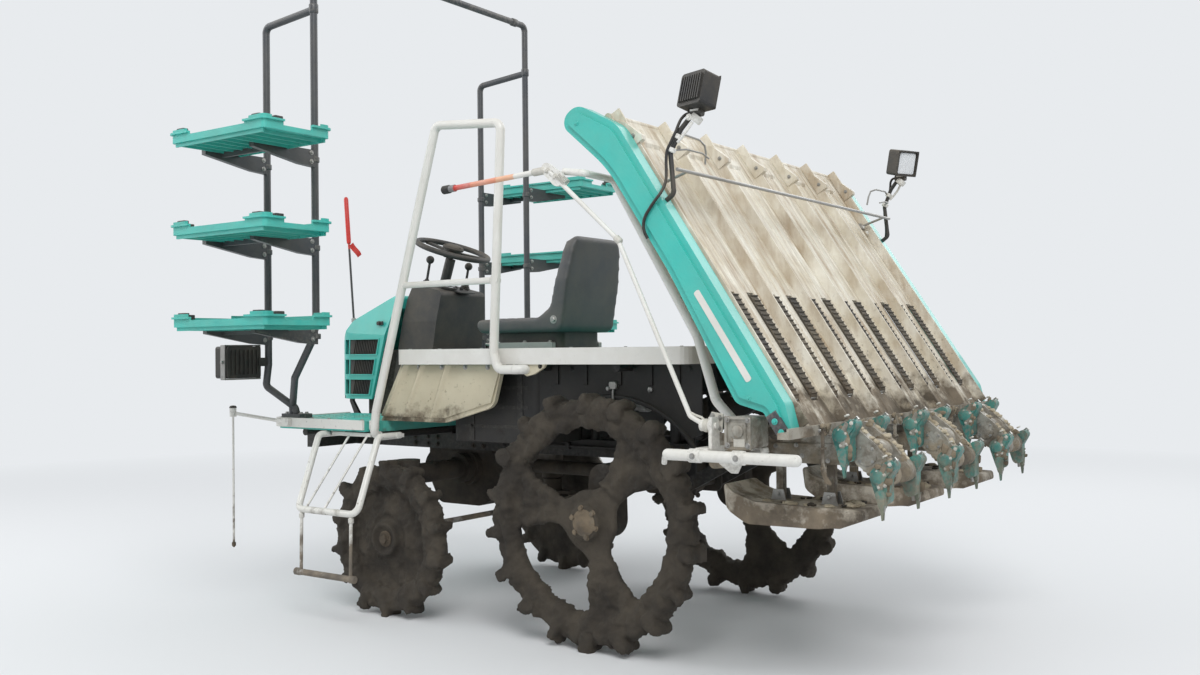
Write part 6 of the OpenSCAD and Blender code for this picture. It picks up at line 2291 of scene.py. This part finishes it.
@dataclass(frozen=True)
class Chassis:
    """Tank cap and straps, pipes, bolts, brackets, and near-black sheets of painted shade over the rear
    wheels, below the deck; millimetres.
    """

    rail_y: float = 175.0
    tank_top: float = 1038.0
    tank_y: float = 470.0
    arch_y: float = 456.0
    arch_z: float = 520.0

    def build(self) -> None:
        """Make the fittings below the deck."""
        self._tank()
        self._bolts()
        self._pipes()
        self._shade_sheets()
        self._mud()

    def _tank(self) -> None:
        """Strap the tank and cap it."""
        straps, cap = Shape(), Shape()
        for side in SIDES:
            for x in (440, 700):
                for low, high in (((x - 14, 900), (x + 14, 1040.5)), ((x - 14, 740), (x + 14, 900))):
                    straps.pad(box_outline(low, high), -0.001, 0.003, 0.001, side_plane(self.tank_y, side))
                straps.pad(
                    box_outline((x - 14, 184), (x + 14, 472)), -0.001, 0.0025, 0.001,
                    level_at(0, 0, self.tank_top) @ Matrix.Diagonal((1, side, 1, 1)))
                Bolt(0.012, 0.006, 0.012).put(
                    straps, place(x, (self.tank_y + 2.6) * side, 800), LEFT * side)
            for z in (800, 880, 960):
                straps.pad(
                    in_metres(((400, z - 7), (750, z - 7), (750, z + 7), (400, z + 7))), -0.001, 0.0018,
                    0.001, side_plane(self.tank_y, side))
        # The straps are near-black, darkened as painted shade under the deck.
        straps.piece("tank_straps", UNDERBODY_GRIME_AND_SHADE, "chassis")
        cap.lathe(
            [(0.03, -0.001), (0.03, 0.006), (0.034, 0.008), (0.034, 0.017), (0.026, 0.0195)], 28,
            level_at(780, 300, self.tank_top))
        for k in range(10):
            angle = k * math.pi / 5
            along, across = math.cos(angle), math.sin(angle)
            spot = place(780 + 34 * along, 300 + 34 * across, self.tank_top + 12.5)
            grip = facing(spot, Vector((along, across, 0)))
            cap.pad(soft_rectangle(0.008, 0.008, 0.002), -0.002, 0.002, 0.001, grip)
        cap.piece("tank_cap", DARK_MOULDING, "chassis", True)

    def _bolts(self) -> None:
        """Bolt the frame, the gearcases and the drop cases."""
        shape, plates = Shape(), Shape()
        for side in SIDES:
            out = LEFT * side
            for x in (-140, -90, 20, 90, 900, 960, 1180, 1240, 1320, 1560, 1600, 1680):
                for z in (684, 716):
                    Bolt(0.014, 0.007, 0.013).put(shape, place(x, self.rail_y * side, z), out)
            for k in range(8):
                angle = k * math.pi / 4
                Bolt(0.012, 0.006, 0.011).put(
                    shape, place(1040 + 64 * math.cos(angle), 146 * side, 580 + 64 * math.sin(angle)), out)
            for x, z in ((-48, 500), (48, 500), (-60, 560), (60, 560), (-50, 640), (50, 640)):
                Bolt(0.013, 0.007, 0.012).put(shape, place(x, 92 * side, z), out)
            for x, z in ((-134, 548), (-92, 548), (-134, 800), (-80, 790)):
                Bolt(0.013, 0.007, 0.012).put(shape, place(x, 108 * side, z), out)
            outline = [(372, 1058), (205, 1058), (214, 1044), (262, 1018), (300, 1010), (352, 1040)]
            plates.pad(in_metres(outline), -0.006, 0.006, 0.002, side_plane(596, side))
            for x in (232, 348):
                Bolt(0.011, 0.005, 0.01).put(shape, place(x, 601.6 * side, 1049), out)
        shape.piece("frame_bolts", GEARCASE, "chassis")
        plates.piece("cover_brackets", CREAM_COVER, "chassis")

    def _pipes(self) -> None:
        """Run the fixed oil pipes along the rails to the lift cylinder."""
        pipes = Shape()
        for side in SIDES:
            pipes.tube(
                mirrored_spots(
                    side, (900, 181, 700), (860, 184, 706), (600, 184, 706), (300, 184, 706),
                    (60, 184, 706), (-20, 182, 700)),
                0.0055, 10)
            for x in (780, 420, 160):
                pipes.pad(
                    soft_rectangle(0.02, 0.03, 0.003), -0.003, 0.015, 0.002,
                    facing(place(x, self.rail_y * side, 706), LEFT * side))
        pipes.tube(
            spots(
                (548, 30, 860), (548, 44, 852), (540, 60, 838), (500, 66, 836.5), (380, 66, 836.5),
                (330, 66, 800), (326, 100, 744), (330, 132, 738)),
            0.006, 10)
        pipes.lathe(
            [(0.012, -0.008), (0.014, -0.004), (0.014, 0.008), (0.009, 0.012)], 6,
            facing(place(548, 22, 866), LEFT))
        # The pipes are near-black, darkened as painted shade under the deck.
        pipes.piece("oil_pipes", UNDERBODY_GRIME_AND_SHADE, "chassis", True)

    def _shade_sheets(self) -> None:
        """Hang near-black arch-shaped sheets above the rear wheels as painted shade, with a latch on each."""
        shade_sheets, latches = Shape(), Shape()
        for side in SIDES:
            out = LEFT * side
            arc = [(math.cos(math.radians(a)), math.sin(math.radians(a))) for a in range(150, 24, -6)]
            crown = [(430 * c, self.arch_z + 400 * s) for c, s in arc if 430 * c < 372]
            outline = [(-398, 1056), (-398, 800), (-356, 786), *crown, (380, 1056)]
            where = side_plane(self.arch_y, side)
            # The sheet is near-black to stand in for the shadow under the deck, where the pale background
            # would show.
            shade_sheets.pad(in_metres(outline), -0.003, 0.003, 0.002, where)
            rim = [
                place(440 * c, (self.arch_y + 2) * side, self.arch_z + 412 * s)
                for c, s in arc
                if 430 * c < 366]
            shade_sheets.tube(rim, 0.008, 8)
            for x in (-300, -180, -40, 120, 260):
                shade_sheets.pad(box_outline((x - 9, 975), (x + 9, 1054)), 0.001, 0.009, 0.003, where)
            for x in (-350, -110, 190, 340):
                Bolt(0.013, 0.006, 0.012).put(shade_sheets, place(x, (self.arch_y + 3) * side, 1036), out)
            latches.tube(mirrored_spots(side, (-11, 464, 962), (-11, 466, 930), (-10, 466, 892)), 0.005, 8)
            latches.pad(
                soft_rectangle(0.036, 0.03, 0.008), -0.006, 0.01, 0.003,
                facing(place(-14, 464 * side, 974), out))
            latches.lathe(
                [(0.009, 0.0), (0.009, 0.012), (0.006, 0.015)], 14, facing(place(6, 464 * side, 962), out))
            latches.lathe(
                [(0.01, 0.0), (0.01, 0.006), (0.007, 0.008)], 14, facing(place(-177, 459 * side, 960), out))
        shade_sheets.piece("rear_arch_shade_sheets", TANK_GRIME_AND_SHADE, "chassis", True)
        latches.piece("rear_arch_latches", BARE_STEEL, "chassis", True)

    def _mud(self) -> None:
        """Throw clods on the axle and the gearcases."""
        mud = Shape()
        for side in SIDES:
            for k in range(16):
                y = random.uniform(130, 400) * side
                mud.clod(
                    place(random.uniform(-26, 26), y, 642), random_size((9, 22), (10, 24), (5, 12)), k * 1.9
                )
            for k in range(12):
                y = random.uniform(190, 420) * side
                mud.clod(
                    place(1040 + random.uniform(-24, 24), y, 620), random_size((9, 20), (10, 22), (5, 11)),
                    k * 2.1)
        mud.piece("axle_clods", MUDDY_WHEEL, "chassis", True, 80)


@dataclass(frozen=True)
class LampLeads:
    """The leads of the work lamps, down the poles and round the side beams; millimetres."""

    radius: float = 5.0
    route: tuple[Row, ...] = (
        (-614.6, 889, 1862),
        (-603, 891, 1859),
        (-592, 897, 1848),
        (-586, 906, 1830),
        (-580, 914, 1806),
        (-568, 920, 1778),
        (-552, 924, 1744),
        (-549, 926, 1712),
        (-551, 929, 1680),
        (-552, 934, 1648),
        (-548, 944, 1622),
        (-540, 954, 1602),
        (-524, 958, 1582),
        (-505, 958, 1560),
        (-488, 958, 1536),
        (-480, 957, 1510),
        (-482, 954, 1486),
        (-490, 949, 1466),
    )

    def build(self) -> None:
        for name, side in (("lamp_lead_left", 1), ("lamp_lead_right", -1)):
            points = [place(x, side * y, z) for x, y, z in self.route]
            curve = bpy.data.curves.new(name, "CURVE")
            curve.dimensions = "3D"
            curve.bevel_depth = self.radius * MM
            curve.bevel_resolution = 4
            curve.use_fill_caps = True
            spline = curve.splines.new("BEZIER")
            spline.bezier_points.add(len(points) - 1)
            for knot, point in zip(spline.bezier_points, points):
                knot.co = point
                knot.handle_left_type = knot.handle_right_type = "AUTO"
            lead = bpy.data.objects.new(name, curve)
            bpy.context.collection.objects.link(lead)
            lead.data.materials.append(RUBBER.build())
            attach(lead, "seedling_table")
            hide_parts("lamp_cables")


def main() -> None:
    """Build the studio, then the machine's sub-assemblies in order."""
    logging.basicConfig(level=logging.INFO, format="%(name)s: %(message)s")
    Studio().build()
    Wheels().build()
    SeedlingTable().build()
    SideBeams().build()
    WorkLamps().build()
    LampLeads().build()
    Seat().build()
    BonnetTrim().build()
    Console().build()
    Racks().build()
    Headlights().build()
    Sighting().build()
    PlantingArms().build()
    PlantingUnit().build()
    MarkerTrim().build()
    Footing().build()
    CoverFolds().build()
    TubeFittings().build()
    Chassis().build()
    CadNodes().build()


if __name__ == "__main__":
    main()
